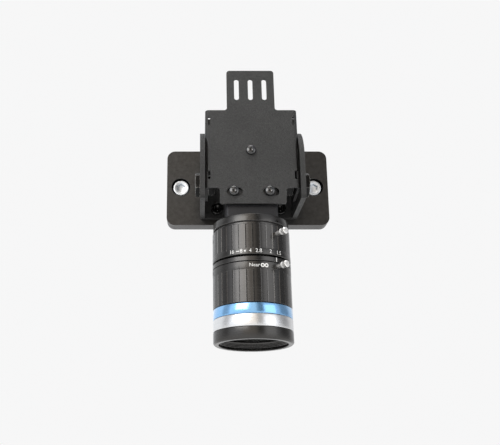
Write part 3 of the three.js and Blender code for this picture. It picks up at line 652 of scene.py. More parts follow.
def rounded(corners: Sequence[tuple[float, float, float]], steps: int = 8) -> list[Point]:
    """Round the corners of a polygon.

    Args:
        corners: Each corner's two coordinates and its radius.
        steps: Divisions of each arc.

    Returns:
        The outline's points.
    """
    outline: list[Point] = []
    count = len(corners)
    for i, (px, py, radius) in enumerate(corners):
        here = Vector((px, py))
        before = (Vector(corners[i - 1][:2]) - here).normalized()
        after = (Vector(corners[(i + 1) % count][:2]) - here).normalized()
        half = before.angle(after) / 2
        if radius <= 0 or half < 1e-4:
            outline.append((px, py))
            continue
        centre = here + (before + after).normalized() * (radius / math.sin(half))
        start = here + before * (radius / math.tan(half)) - centre
        end = here + after * (radius / math.tan(half)) - centre
        turn = start.angle_signed(end)
        for step in range(steps + 1):
            arm = Matrix.Rotation(-turn * step / steps, 2) @ start
            outline.append(tuple(centre + arm))
    return outline


def box_outline(low: Point, high: Point, radius: float, steps: int = 8) -> list[Point]:
    """Return a rounded rectangle between two corners."""
    (x0, y0), (x1, y1) = low, high
    return rounded([(x0, y0, radius), (x1, y0, radius), (x1, y1, radius), (x0, y1, radius)], steps)


def circle(centre: Point, radius: float, steps: int = 64) -> list[Point]:
    """Return a circle's points."""
    turns = (2 * math.pi * i / steps for i in range(steps))
    return [(centre[0] + radius * math.cos(t), centre[1] + radius * math.sin(t)) for t in turns]


def flat_mesh(outline: Sequence[Point], holes: Iterable[Sequence[Point]] = ()) -> bmesh.types.BMesh:
    """Fill an outline with holes, in the XY plane.

    Args:
        outline: The outer points.
        holes: The points of each hole.

    Returns:
        The flat mesh.
    """
    curve = bpy.data.curves.new("outline", "CURVE")
    curve.dimensions = "2D"
    curve.fill_mode = "BOTH"
    for points in (outline, *holes):
        spline = curve.splines.new("POLY")
        spline.points.add(len(points) - 1)
        for target, (x, y) in zip(spline.points, points):
            target.co = (x, y, 0, 1)
        spline.use_cyclic_u = True
    holder = bpy.data.objects.new("outline", curve)
    mesh = holder.to_mesh()
    bm = bmesh.new()
    bm.from_mesh(mesh)
    holder.to_mesh_clear()
    bpy.data.objects.remove(holder)
    bpy.data.curves.remove(curve)
    bmesh.ops.remove_doubles(bm, verts=bm.verts[:], dist=1e-5)
    return bm


def thicken(bm: bmesh.types.BMesh, place: Callable[[float, float, float], Vector], thickness: float) -> None:
    """Give a flat mesh its thickness and put each point in place.

    Args:
        bm: The flat mesh, changed in place.
        place: Returns the place of a flat point at an offset from the middle of the sheet.
        thickness: The sheet's thickness.
    """
    made = bmesh.ops.extrude_face_region(bm, geom=bm.faces[:])
    for entry in made["geom"]:
        if isinstance(entry, bmesh.types.BMVert):
            entry.co.z = thickness
    for vertex in bm.verts:
        vertex.co = place(vertex.co.x, vertex.co.y, vertex.co.z - thickness / 2)
    bmesh.ops.recalc_face_normals(bm, faces=bm.faces[:])


def prism(outline: Sequence[Point], low: float, high: float, holes: Iterable[Sequence[Point]] = ()):
    """Extrude an outline along Z from low to high.

    Args:
        outline: The outer points.
        low: The lower height.
        high: The upper height.
        holes: The points of each hole.

    Returns:
        The body in millimetres.
    """
    bm = flat_mesh(outline, holes)
    middle = (low + high) / 2
    thicken(bm, lambda x, y, offset: Vector((x, y, middle + offset)), high - low)
    return bm


def joined(*bodies: bmesh.types.BMesh) -> bmesh.types.BMesh:
    """Join bodies into one mesh and free the others."""
    first, *others = bodies
    for other in others:
        mesh = mesh_from("part", other)
        first.from_mesh(mesh)
        bpy.data.meshes.remove(mesh)
    return first


def moved(bm: bmesh.types.BMesh, matrix: Matrix) -> bmesh.types.BMesh:
    """Move a body by a matrix and return it."""
    bmesh.ops.transform(bm, matrix=matrix, verts=bm.verts[:])
    return bm


def carved(bm: bmesh.types.BMesh, *cutters: bmesh.types.BMesh) -> bmesh.types.BMesh:
    """Cut bodies out of a body.

    Args:
        bm: The body to cut.
        *cutters: What is taken away, one after another.

    Returns:
        The cut body.
    """
    holders = [linked("carve", mesh_from("carve", part)) for part in (bm, *cutters)]
    body, *tools = holders
    for tool in tools:
        step = body.modifiers.new("cut", "BOOLEAN")
        step.operation = "DIFFERENCE"
        step.solver = "EXACT"
        step.object = tool
    cut = evaluated(body)
    for holder in holders:
        mesh = holder.data
        bpy.data.objects.remove(holder)
        bpy.data.meshes.remove(mesh)
    return cut


@dataclass(frozen=True)
class Edge:
    """How a piece's sharp edges are broken."""

    width: float = 0.2
    segments: int = 2
    angle: float = 32.0

    def apply(self, piece: bpy.types.Object, unit: float = 1.0) -> None:
        """Bevel a piece's sharp edges.

        Args:
            piece: The piece.
            unit: What one millimetre is in its own coordinates.
        """
        bevel = piece.modifiers.new("broken edges", "BEVEL")
        bevel.width = self.width * unit
        bevel.segments = self.segments
        bevel.limit_method = "ANGLE"
        bevel.angle_limit = math.radians(self.angle)
        bevel.harden_normals = True
        bevel.use_clamp_overlap = True


def put(name: str, bm: bmesh.types.BMesh, place: Matrix, finish, body: str,
        nodes: Sequence[str] = (), edge: Edge | None = Edge(), smooth: float = 32.0) -> bpy.types.Object:
    """Turn a body into a dressed piece that rides on the frame.

    Args:
        name: The piece's name.
        bm: The body in millimetres, freed here.
        place: The body's frame, in millimetres.
        finish: The finish it gets.
        body: The frame body it rides on.
        nodes: Frame nodes that it stands for.
        edge: How its sharp edges are broken, or None.
        smooth: Faces that meet at less than this many degrees are shaded smooth.

    Returns:
        The piece.
    """
    mesh = mesh_from(name, bm)
    piece = linked(name, mesh)
    origin = place.copy()
    origin.translation = place.translation * MM
    piece.matrix_world = origin @ Matrix.Diagonal((MM, MM, MM, 1))
    mesh.materials.append(finish.material())
    mesh.shade_smooth()
    mesh.set_sharp_from_angle(angle=math.radians(smooth))
    if edge:
        edge.apply(piece)
    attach(piece, body)
    if nodes:
        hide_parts(*nodes)
    log.info("%s rides on %s with %s", name, body, finish.name)
    return piece


def stand_in(node: str, bm: bmesh.types.BMesh, place: Matrix, finish, edge: Edge | None = Edge(),
             smooth: float = 32.0) -> bpy.types.Object:
    """Put a body in the place of a frame node, on the body that holds the node."""
    return put(f"{node}_look", bm, place, finish, body_of(node), [node], edge, smooth)


def dress(node: str, finish, edge: Edge | None = None) -> None:
    """Give a frame node its finish, and break its edges where asked.

    Args:
        node: The node's name.
        finish: Its finish.
        edge: How its sharp edges are broken, or None.
    """
    holder = frame["nodes"][node]
    holder.data.materials.clear()
    holder.data.materials.append(finish.material(1 / MM))
    if edge:
        edge.apply(holder, MM)
    log.info("%s dressed with %s", node, finish.name)


TEXT_SIZE_PER_HEIGHT = 1.38


def wrapped_text(text: str, height: float, thickness: float = 0.05) -> bmesh.types.BMesh:
    """Return generic lettering as a thin flat body, centred, in the XY plane."""
    curve = bpy.data.curves.new("dial", "FONT")
    curve.body = text
    curve.size = height * TEXT_SIZE_PER_HEIGHT
    curve.align_x = "CENTER"
    curve.align_y = "CENTER"
    curve.resolution_u = 3
    curve.extrude = thickness / 2
    holder = linked("dial", curve)
    bpy.context.view_layer.update()
    bm = evaluated(holder)
    bpy.data.objects.remove(holder)
    bpy.data.curves.remove(curve)
    return bm


def wrap(bm: bmesh.types.BMesh, radius: float, azimuth: float, height: float) -> bmesh.types.BMesh:
    """Wrap a flat body around Z.

    Args:
        bm: The flat body: X runs along the circle, Y along the axis, Z outwards.
        radius: The cylinder's radius.
        azimuth: Degrees from the front towards +X.
        height: The height of the body's middle.

    Returns:
        The same body on the cylinder.
    """
    for vertex in bm.verts:
        turn = math.radians(azimuth) + vertex.co.x / radius
        out = radius + vertex.co.z
        vertex.co = Vector((out * math.sin(turn), -out * math.cos(turn), height + vertex.co.y))
    return bm


# ---------------------------------------------------------------- fasteners


@dataclass(frozen=True)
class SocketScrew:
    """A screw with a hexagon socket: cap head, or domed button head."""

    head_height: float
    shank_radius: float
    socket_across: float
    socket_depth: float
    finish: Finish
    knurls: int = 0
    dome: float = 0.0
    pitch: float = 0.0
    segments: int = 72

    def build(self, node: str, outward: Vector) -> bpy.types.Object:
        """Build the screw that stands for a frame node.

        Args:
            node: The frame node.
            outward: The direction that its head faces.

        Returns:
            The piece.
        """
        turn = axes_at(Vector(), outward, X)
        extent = measure(node, turn)
        seat = Vector((extent.middle.x, extent.middle.y, extent.high.z - self.head_height))
        stations = self._shank(extent.height - self.head_height) + self._head(extent.radius)
        body = turned(stations, self.segments)
        return stand_in(node, body, turn @ Matrix.Translation(seat), self.finish, None, smooth=38)

    def _shank(self, length: float) -> list[Station | Point]:
        """Return the shank's stations, with thread ridges where there is a pitch."""
        radius = self.shank_radius
        lead = 0.3 * radius
        stations = [(0, -length), (radius - lead, -length), (radius, -length + lead)]
        height = -length + lead
        while self.pitch and height + self.pitch < -0.4 * length:
            stations.append((radius - 0.35 * self.pitch, height + 0.5 * self.pitch))
            height += self.pitch
            stations.append((radius, height))
        return stations + [(radius, 0)]

    def _head(self, radius: float) -> list[Station | Point]:
        """Return the head's stations, down into the socket."""
        top = self.head_height
        depth = min(0.12, 0.2 * self.head_height)
        stations = [(radius - depth, 0), (radius, depth)]
        mouth = self.socket_across / math.sqrt(3) + 0.1
        if self.knurls:
            low, high = 0.12 * top, 0.8 * top
            depth = 0.3 * math.pi * radius / self.knurls
            stations.append((radius, low))
            stations.append(Station(radius, low + depth, teeth=self.knurls, tooth_depth=depth))
            stations.append(Station(radius, high - depth, teeth=self.knurls, tooth_depth=depth))
            stations.append((radius, high))
        if self.dome:
            start = top - self.dome
            least = math.asin(mouth / radius)
            for step in range(11):
                angle = least + (math.pi / 2 - least) * (1 - step / 10)
                stations.append((radius * math.sin(angle), start + self.dome * math.cos(angle)))
            top = start + self.dome * math.cos(least)
        else:
            chamfer = 0.09 * radius
            for step in range(5):
                angle = math.pi / 2 * step / 4
                stations.append((radius - chamfer + chamfer * math.cos(angle),
                                        top - chamfer + chamfer * math.sin(angle)))
            stations.append((mouth + 0.06 * radius, top))
            stations.append((mouth, top - 0.03 * radius))
        half = self.socket_across / 2
        floor = self.head_height - self.socket_depth
        return stations + [
            Station(half, top - 0.18, sides=6), Station(half, floor, sides=6),
            (0.9 * half, floor - 0.05), (0, floor - 0.3 * half),
        ]


@dataclass(frozen=True)
class HexHead:
    """A hexagon head bolt or a plain nut."""

    across: float
    height: float
    finish: Finish
    bore: float = 0.0
    shank_radius: float = 3.0

    def _hexagon(self) -> list[Station | Point]:
        """Return the chamfered hexagon's stations, from its seat up."""
        apothem = self.across / 2
        corner = self.across / math.sqrt(3)
        stations = [Station(apothem, 0, sides=6, limit=corner)]
        drop = 0.5 * (corner - apothem)
        for step in range(6):
            share = step / 5
            limit = corner + (0.94 * apothem - corner) * share
            stations.append(Station(apothem, self.height - drop * (1 - share), sides=6, limit=limit))
        return stations

    def build(self, node: str, outward: Vector, across: Vector) -> bpy.types.Object:
        """Build the bolt or nut that stands for a frame node.

        Args:
            node: The frame node.
            outward: The direction of the bolt's axis.
            across: The direction that one flat faces.

        Returns:
            The piece.
        """
        turn = axes_at(Vector(), outward, across)
        extent = measure(node, turn)
        seat = Vector((extent.middle.x, extent.middle.y, extent.high.z - self.height))
        stations = self._hexagon()
        if self.bore:
            inner = [(self.bore + 0.4, self.height), (self.bore, self.height - 0.4),
                     (self.bore, 0.4), (self.bore + 0.4, 0)]
            body = turned(stations + inner, 72, closed=True)
        else:
            length = extent.height - self.height
            rim = 0.62 * self.across / 2
            dish = [(rim, self.height), (rim - 0.4, self.height - 0.25),
                    (0, self.height - 0.25)]
            shank = [(0, -length), (self.shank_radius - 0.5, -length),
                     (self.shank_radius, 0.5 - length), (self.shank_radius, 0)]
            body = turned(shank + stations + dish, 72)
        return stand_in(node, body, turn @ Matrix.Translation(seat), self.finish, None, smooth=30)


# ---------------------------------------------------------------- plate and yoke


@dataclass
class BasePlate:
    """The anodised plate with its two counterbored bolts, which fixes everything to a profile."""

    corner: float = 5.0
    counterbore: float = 5.6
    bolt_hole: float = 3.3
    counterbore_floor: float = -2.1
    counterbore_mouth: float = 0.25
    screw_hole: float = 2.3
    screw_hole_floor: float = 2.0
    past: float = 1.0
    chamfer: Edge = Edge(0.5, 3, 40)

    def build(self) -> None:
        """Build the plate and its bolts."""
        extent = measure("base_plate", BASE)
        front = axes_at(Vector(), -Y, X)
        outline = box_outline((extent.low.x, extent.low.z), (extent.high.x, extent.high.z), self.corner, 10)
        body = prism(outline, -extent.high.y, -extent.low.y)
        cutters = []
        for node in MOUNT_BOLTS:
            middle = measure(node, BASE).middle
            shift = Matrix.Translation((middle.x, middle.z, 0))
            cutters.append(moved(self._counterbore(-extent.low.y), shift))
        for node in YOKE_SCREWS:
            middle = measure(node, BASE).middle
            outline = circle((middle.x, middle.z), self.screw_hole, 32)
            cutters.append(prism(outline, self.screw_hole_floor, self.past - extent.low.y))
        stand_in("base_plate", carved(body, *cutters), front, Finishes.plate, self.chamfer, smooth=28)
        bolt = SocketScrew(6.0, 3.0, 5.0, 3.0, Finishes.zinc, knurls=36, pitch=1.0, segments=144)
        for node in MOUNT_BOLTS:
            bolt.build(node, -Y)

    def _counterbore(self, face: float) -> bmesh.types.BMesh:
        """Return the stepped hole's cutter, with a small chamfer at its mouth."""
        floor, mouth, over = -self.counterbore_floor, self.counterbore_mouth, self.past / 2
        start = -2 * self.past
        return turned([
            (0, start), (self.bolt_hole, start), (self.bolt_hole, floor),
            (self.counterbore, floor), (self.counterbore, face - mouth),
            (self.counterbore + mouth + over, face + over), (0, face + over),
        ], 72)


@dataclass(frozen=True)
class Channel:
    """How a flat sheet folds into a web and two side walls."""

    half_width: float
    web: float
    bend: float
    direction: int
    thickness: float

    @property
    def bend_start(self) -> float:
        """Return how far the flat web reaches from the middle."""
        return self.half_width - self.bend

    @property
    def bend_length(self) -> float:
        """Return the length of one bend along the middle of the sheet."""
        return self.bend * math.pi / 2

    def reach(self, depth: float) -> float:
        """Return the flat distance from the middle to a depth along a side wall."""
        return self.bend_start + self.bend_length + abs(depth - self.web) - self.bend

    def fold(self, along: float, up: float, offset: float) -> Vector:
        """Fold one point of the flat sheet.

        Args:
            along: The flat distance from the middle.
            up: The height.
            offset: The distance from the middle of the sheet, outwards.

        Returns:
            The folded point.
        """
        side = math.copysign(1.0, along)
        over = abs(along) - self.bend_start
        if over <= 0:
            return Vector((along, self.web - self.direction * offset, up))
        angle = min(over / self.bend, math.pi / 2)
        radius = self.bend + offset
        x = self.bend_start + radius * math.sin(angle)
        depth = self.bend - radius * math.cos(angle) + max(0.0, over - self.bend_length)
        return Vector((side * x, self.web + self.direction * depth, up))

    def sheet(self, outline: Sequence[Point], holes: Iterable[Sequence[Point]], steps: int = 8):
        """Fold a flat outline with holes into the bent sheet.

        Args:
            outline: The flat outline.
            holes: The flat holes.
            steps: Divisions of each bend.

        Returns:
            The bent sheet's body.
        """
        bm = flat_mesh(outline, holes)
        for side in (-1, 1):
            for step in range(steps + 1):
                cut = side * (self.bend_start + self.bend_length * step / steps)
                everything = bm.verts[:] + bm.edges[:] + bm.faces[:]
                bmesh.ops.bisect_plane(bm, geom=everything, plane_co=(cut, 0, 0), plane_no=(1, 0, 0))
        thicken(bm, self.fold, self.thickness)
        return bm


@dataclass
class Yoke:
    """The fixed U of bent sheet with its screws and the pivot hardware."""

    thickness: float = 2.8
    bend: float = 3.3
    ear_radius: float = 23.0
    front_corner: float = 2.0
    pivot_hole: float = 3.3
    screw_hole: float = 2.3
    edge: Edge = Edge(0.28, 3, 40)

    def build(self) -> None:
        """Build the yoke, its screws and the pivot bolts."""
        extent = measure("yoke", BASE)
        half = self.thickness / 2
        channel = Channel(extent.high.x - half, extent.high.y - half, self.bend - half, -1, self.thickness)
        front = channel.reach(extent.low.y)
        low, high = extent.low.z, extent.high.z
        outline = rounded([
            (-front, low, self.front_corner), (front, low, self.front_corner),
            (front, high, self.ear_radius), (-front, high, self.ear_radius),
        ], 28)
        pivot = TILT.translation
        along = channel.reach(pivot.y)
        holes = [circle((side * along, pivot.z), self.pivot_hole) for side in (-1, 1)]
        for node in YOKE_SCREWS:
            middle = measure(node, BASE).middle
            holes.append(circle((middle.x, middle.z), self.screw_hole, 40))
        stand_in("yoke", channel.sheet(outline, holes), BASE, Finishes.powder, self.edge)
        screw = SocketScrew(4.0, 2.0, 3.0, 2.0, Finishes.black_steel, knurls=24)
        for node in YOKE_SCREWS:
            screw.build(node, -Y)
        self._pivots()

    def _pivots(self) -> None:
        """Build the pivot bolts outside the ears and the washer on the right."""
        for hand, side in (("left", -1), ("right", 1)):
            HexHead(13.0, 2.8, Finishes.black_steel).build(f"pivot_bolt_{hand}", side * X, -Y)
        turn = axes_at(Vector(), X, -Y)
        extent = measure("pivot_washer", turn)
        place = turn @ Matrix.Translation((extent.middle.x, extent.middle.y, extent.low.z))
        outer, inner, thick, soft = extent.radius, self.pivot_hole, extent.height, 0.2
        body = turned([
            (inner, 0), (outer - soft, 0), (outer, soft), (outer, thick - soft),
            (outer - soft, thick), (inner + soft, thick), (inner, thick - soft),
        ], 96, closed=True)
        stand_in("pivot_washer", body, place, Finishes.black_steel, None)


# ---------------------------------------------------------------- carrier


@dataclass
class Carrier:
    """The tilting sheet that holds the camera, with its slotted tab and foot."""

    thickness: float = 1.5
    bend: float = 2.2
    bottom: float = -9.3
    shoulder: float = 39.1
    rear_corner: float = 8.0
    tab_half: float = 13.9
    tab_corner: float = 1.8
    foot_half: float = 18.5
    foot_corner: float = 1.5
    notch_corner: float = 1.6
    tab_slot_pitch: float = 8.1
    tab_slot: tuple[float, float, float] = (2.8, 45.8, 60.0)
    foot_slot_pitch: float = 20.2
    foot_slot: tuple[float, float, float] = (9.0, 5.1, -12.0)
    slit: tuple[float, float, float] = (0.5, 15.5, 23.8)
    slit_inset: float = 1.5
    slit_strip: float = 0.6
    slit_depth: float = 3.5
    relief_inset: float = 1.5
    relief_width: float = 1.4
    relief_length: float = 5.3
    relief_bottoms: tuple[float, float] = (-4.4, 29.4)
    relief_depth: float = 1.3
    relief_through: float = 0.9
    screw_hole: float = 1.7
    edge: Edge = Edge(0.22, 2, 40)

    def build(self) -> None:
        """Build the sheet, its screws and the nuts of the pivot."""
        extent = measure("carrier", TILT)
        half = self.thickness / 2
        width = extent.high.x
        channel = Channel(width - half, extent.low.y + half, self.bend - half, 1, self.thickness)
        back = channel.reach(extent.high.y)
        bm = channel.sheet(self._outline(back, extent), self._holes())
        cutters = [self._slit(side, width, extent.low.y) for side in (-1, 1)]
        for side in (-1, 1):
            for bottom in self.relief_bottoms:
                top = bottom + self.relief_length
                depth = self.relief_depth if bottom > 0 else 2 * self.thickness
                cutters.append(self._relief(side, bottom, top, width, extent.low.y, depth))
            cutters.append(self._relief(side, top - self.relief_through, top, width, extent.low.y,
                                        2 * self.thickness))
        stand_in("carrier", carved(bm, *cutters), TILT, Finishes.powder, self.edge)
        screw = SocketScrew(2.0, 1.4, 2.0, 1.0, Finishes.bright_black, dome=0.95)
        for hand in ("left", "right", "top"):
            screw.build(f"camera_screw_{hand}", TILT_FRONT)
        for hand, side in (("left", -1), ("right", 1)):
            nut = HexHead(11.0, 4.0, Finishes.black_steel, bore=3.3)
            nut.build(f"pivot_nut_{hand}", -side * X, -Y)
        dress("camera_pad", Finishes.plastic, Edge(0.2, 2))

    def _outline(self, back: float, extent: Extent) -> list[Point]:
        """Return the flat outline: walls, tab above and foot below."""
        tab, foot, notch = self.tab_half, self.foot_half, self.notch_corner
        right = [
            (foot, extent.low.z, self.foot_corner), (foot, self.bottom, notch),
            (back, self.bottom, self.rear_corner), (back, self.shoulder, self.rear_corner),
            (tab, self.shoulder, notch), (tab, extent.high.z, self.tab_corner),
        ]
        left = [(-x, z, radius) for x, z, radius in reversed(right)]
        return rounded(right + left, 10)

    def _holes(self) -> list[list[Point]]:
        """Return the flat holes: tab slots, foot slots and the upper screw's hole."""
        width, bottom, top = self.tab_slot
        holes = []
        for step in (-1, 0, 1):
            x = step * self.tab_slot_pitch
            holes.append(box_outline((x - width / 2, bottom), (x + width / 2, top), width / 2 - 0.01, 12))
        length, height, middle = self.foot_slot
        for side in (-1, 1):
            x = side * self.foot_slot_pitch / 2
            low = (x - length / 2, middle - height / 2)
            high = (x + length / 2, middle + height / 2)
            holes.append(box_outline(low, high, height / 2 - 0.01, 16))
        top_screw = measure("camera_screw_top", TILT).middle
        holes.append(circle((top_screw.x, top_screw.z), self.screw_hole, 40))
        return holes

    def _slit(self, side: int, width: float, face: float) -> bmesh.types.BMesh:
        """Return the cutter of the slit that opens one bend."""
        bottom, straight, top = self.slit
        inner = width - self.slit_inset
        outer = width - self.slit_strip
        points = [(side * outer, straight), (side * outer, bottom), (side * inner, bottom)]
        for step in range(9):
            share = step / 8
            bow = 2 * share * (1 - share)
            x = (1 - share) ** 2 * inner + bow * inner + share ** 2 * (width + 0.3)
            z = (1 - share) ** 2 * straight + bow * (straight + top) / 2 + share ** 2 * top
            points.append((side * x, z))
        points.append((side * (width + 0.3), straight + 2))
        return self._from_front(points, face - 1, face + self.slit_depth)

    def _relief(self, side: int, bottom: float, top: float, width: float, face: float, depth: float):
        """Return the cutter of one short relief slot beside a bend.

        Args:
            side: -1 on the left, 1 on the right.
            bottom: Its lower end.
            top: Its upper end.
            width: Half the carrier's width.
            face: The carrier's front face.
            depth: How deep it goes from there.

        Returns:
            The cutter's body.
        """
        outer = width - self.relief_inset
        inner = outer - self.relief_width
        low, high = sorted((side * inner, side * outer))
        points = box_outline((low, bottom), (high, top), 0.4, 6)
        return self._from_front(points, face - 1, face + depth)

    @staticmethod
    def _from_front(points: Sequence[Point], near: float, far: float) -> bmesh.types.BMesh:
        """Extrude an outline in X and Z along Y."""
        bm = prism(points, near, far)
        swap = Matrix(((1, 0, 0, 0), (0, 0, 1, 0), (0, 1, 0, 0), (0, 0, 0, 1)))
        moved(bm, swap)
        bmesh.ops.recalc_face_normals(bm, faces=bm.faces[:])
        return bm


# ---------------------------------------------------------------- camera


@dataclass
class CameraBody:
    """The cube camera behind the carrier: housing, front block, rear cover and sockets."""

    corner: float = 1.5
    wall: float = 1.8
    flange_bore: float = 12.8
    power_hole: float = 4.3
    edge: Edge = Edge(0.45, 3, 40)
    contacts: int = 8
    contact_pitch: float = 1.02
    contact_width: float = 0.36
    pins: int = 6
    pin_circle: float = 1.9
    pin_radius: float = 0.32
    socket_gap: float = 0.3
    fins: int = 5
    fin_margin: float = 6.0
    fin_pitch: float = 2.6
    fin_width: float = 1.1
    fin_depth: float = 0.7

    def build(self) -> None:
        """Build the housing parts and dress what is inside."""
        self._housing()
        self._front_block()
        self._rear_cover()
        self._sockets()
        for node, finish in (("sensor_board", Finishes.board), ("main_board", Finishes.board),
                             ("image_sensor", Finishes.plastic), ("sensor_window", Finishes.window),
                             ("filter_glass", Finishes.window)):
            dress(node, finish, Edge(0.08, 1))

    def _square(self, extent: Extent, inset: float, corner: float) -> list[Point]:
        """Return the body's square outline, inset by a wall."""
        low = (extent.low.x + inset, extent.low.y + inset)
        high = (extent.high.x - inset, extent.high.y - inset)
        return box_outline(low, high, corner, 8)

    def _housing(self) -> None:
        """Build the housing: a square tube with cooling grooves in its two sides and back."""
        extent = measure("camera_housing", LENS)
        outer = self._square(extent, 0, self.corner)
        inner = self._square(extent, self.wall, 0.6)
        bm = prism(outer, extent.low.z, extent.high.z, [inner])
        middle = extent.middle.z
        length = extent.height - 2 * self.fin_margin
        grooves = []
        for step in range(self.fins):
            shift = (step - (self.fins - 1) / 2) * self.fin_pitch
            for turn in (0, 90, -90):
                spin = Matrix.Rotation(math.radians(turn), 4, "Z")
                groove = prism(box_outline((shift - self.fin_width / 2, extent.high.y - self.fin_depth),
                                           (shift + self.fin_width / 2, extent.high.y + 2), 0.3, 4),
                               middle - length / 2, middle + length / 2)
                grooves.append(moved(groove, spin))
        stand_in("camera_housing", carved(bm, *grooves), LENS, Finishes.camera, Edge(0.3, 2, 40))

    def _front_block(self) -> None:
        """Build the block that carries the lens flange."""
        extent = measure("front_block", LENS)
        bm = prism(self._square(extent, 0, self.corner), extent.low.z, extent.high.z,
                   [circle((0, 0), self.flange_bore, 96)])
        stand_in("front_block", bm, LENS, Finishes.camera, self.edge)

    def _rear_cover(self) -> None:
        """Build the rear cover with its two socket openings."""
        extent = measure("rear_cover", LENS)
        jack = measure("data_socket", LENS)
        power = measure("power_socket", LENS).middle
        gap = self.socket_gap
        low, high = (jack.low.x - gap, jack.low.y - gap), (jack.high.x + gap, jack.high.y + gap)
        hole = box_outline(low, high, 0.3, 4)
        round_hole = circle((power.x, power.y), self.power_hole, 64)
        bm = prism(self._square(extent, 0, self.corner), extent.low.z, extent.high.z, [hole, round_hole])
        stand_in("rear_cover", bm, LENS, Finishes.camera, self.edge)

    def _sockets(self) -> None:
        """Dress the sockets and add their contacts."""
        dress("data_socket", Finishes.steel, Edge(0.12, 2))
        jack = measure("data_socket", LENS)
        strips = []
        for index in range(self.contacts):
            x = jack.middle.x + (index - (self.contacts - 1) / 2) * self.contact_pitch
            low = (x - self.contact_width / 2, jack.low.y + 2.1)
            high = (x + self.contact_width / 2, jack.low.y + 2.6)
            strips.append(prism(box_outline(low, high, 0.1, 2), jack.low.z + 5.2, jack.high.z - 2.5))
        put("data_contacts", joined(*strips), LENS, Finishes.gold, "head", edge=Edge(0.04, 1))
        power = measure("power_socket", LENS)
        place = LENS @ Matrix.Translation((power.middle.x, power.middle.y, power.low.z))
        height = power.height
        ridge = power.radius
        shell = turned([
            (0, 0), (ridge - 1.2, 0), (ridge - 1, 0.2), (ridge - 1, height - 4.2),
            (ridge, height - 4.2), (ridge, height - 2.4), (ridge - 0.3, height - 2.1),
            (ridge - 0.3, height - 0.3), (ridge - 0.6, height), (ridge - 1.4, height),
            (ridge - 1.6, height - 0.2), (ridge - 1.6, height - 7), (0, height - 7),
        ], 72)
        stand_in("power_socket", shell, place, Finishes.steel, None)
        pins = []
        for index in range(self.pins):
            turn = Matrix.Rotation(2 * math.pi * index / self.pins, 4, "Z")
            pin = turned([
                (0, height - 7.0), (self.pin_radius, height - 7.0),
                (self.pin_radius, height - 2.4), (0.5 * self.pin_radius, height - 2.1),
                (0, height - 2.1),
            ], 16)
            pins.append(moved(pin, turn @ Matrix.Translation((self.pin_circle, 0, 0))))
        put("power_pins", joined(*pins), place, Finishes.gold, "head", edge=None)


# ---------------------------------------------------------------- lens


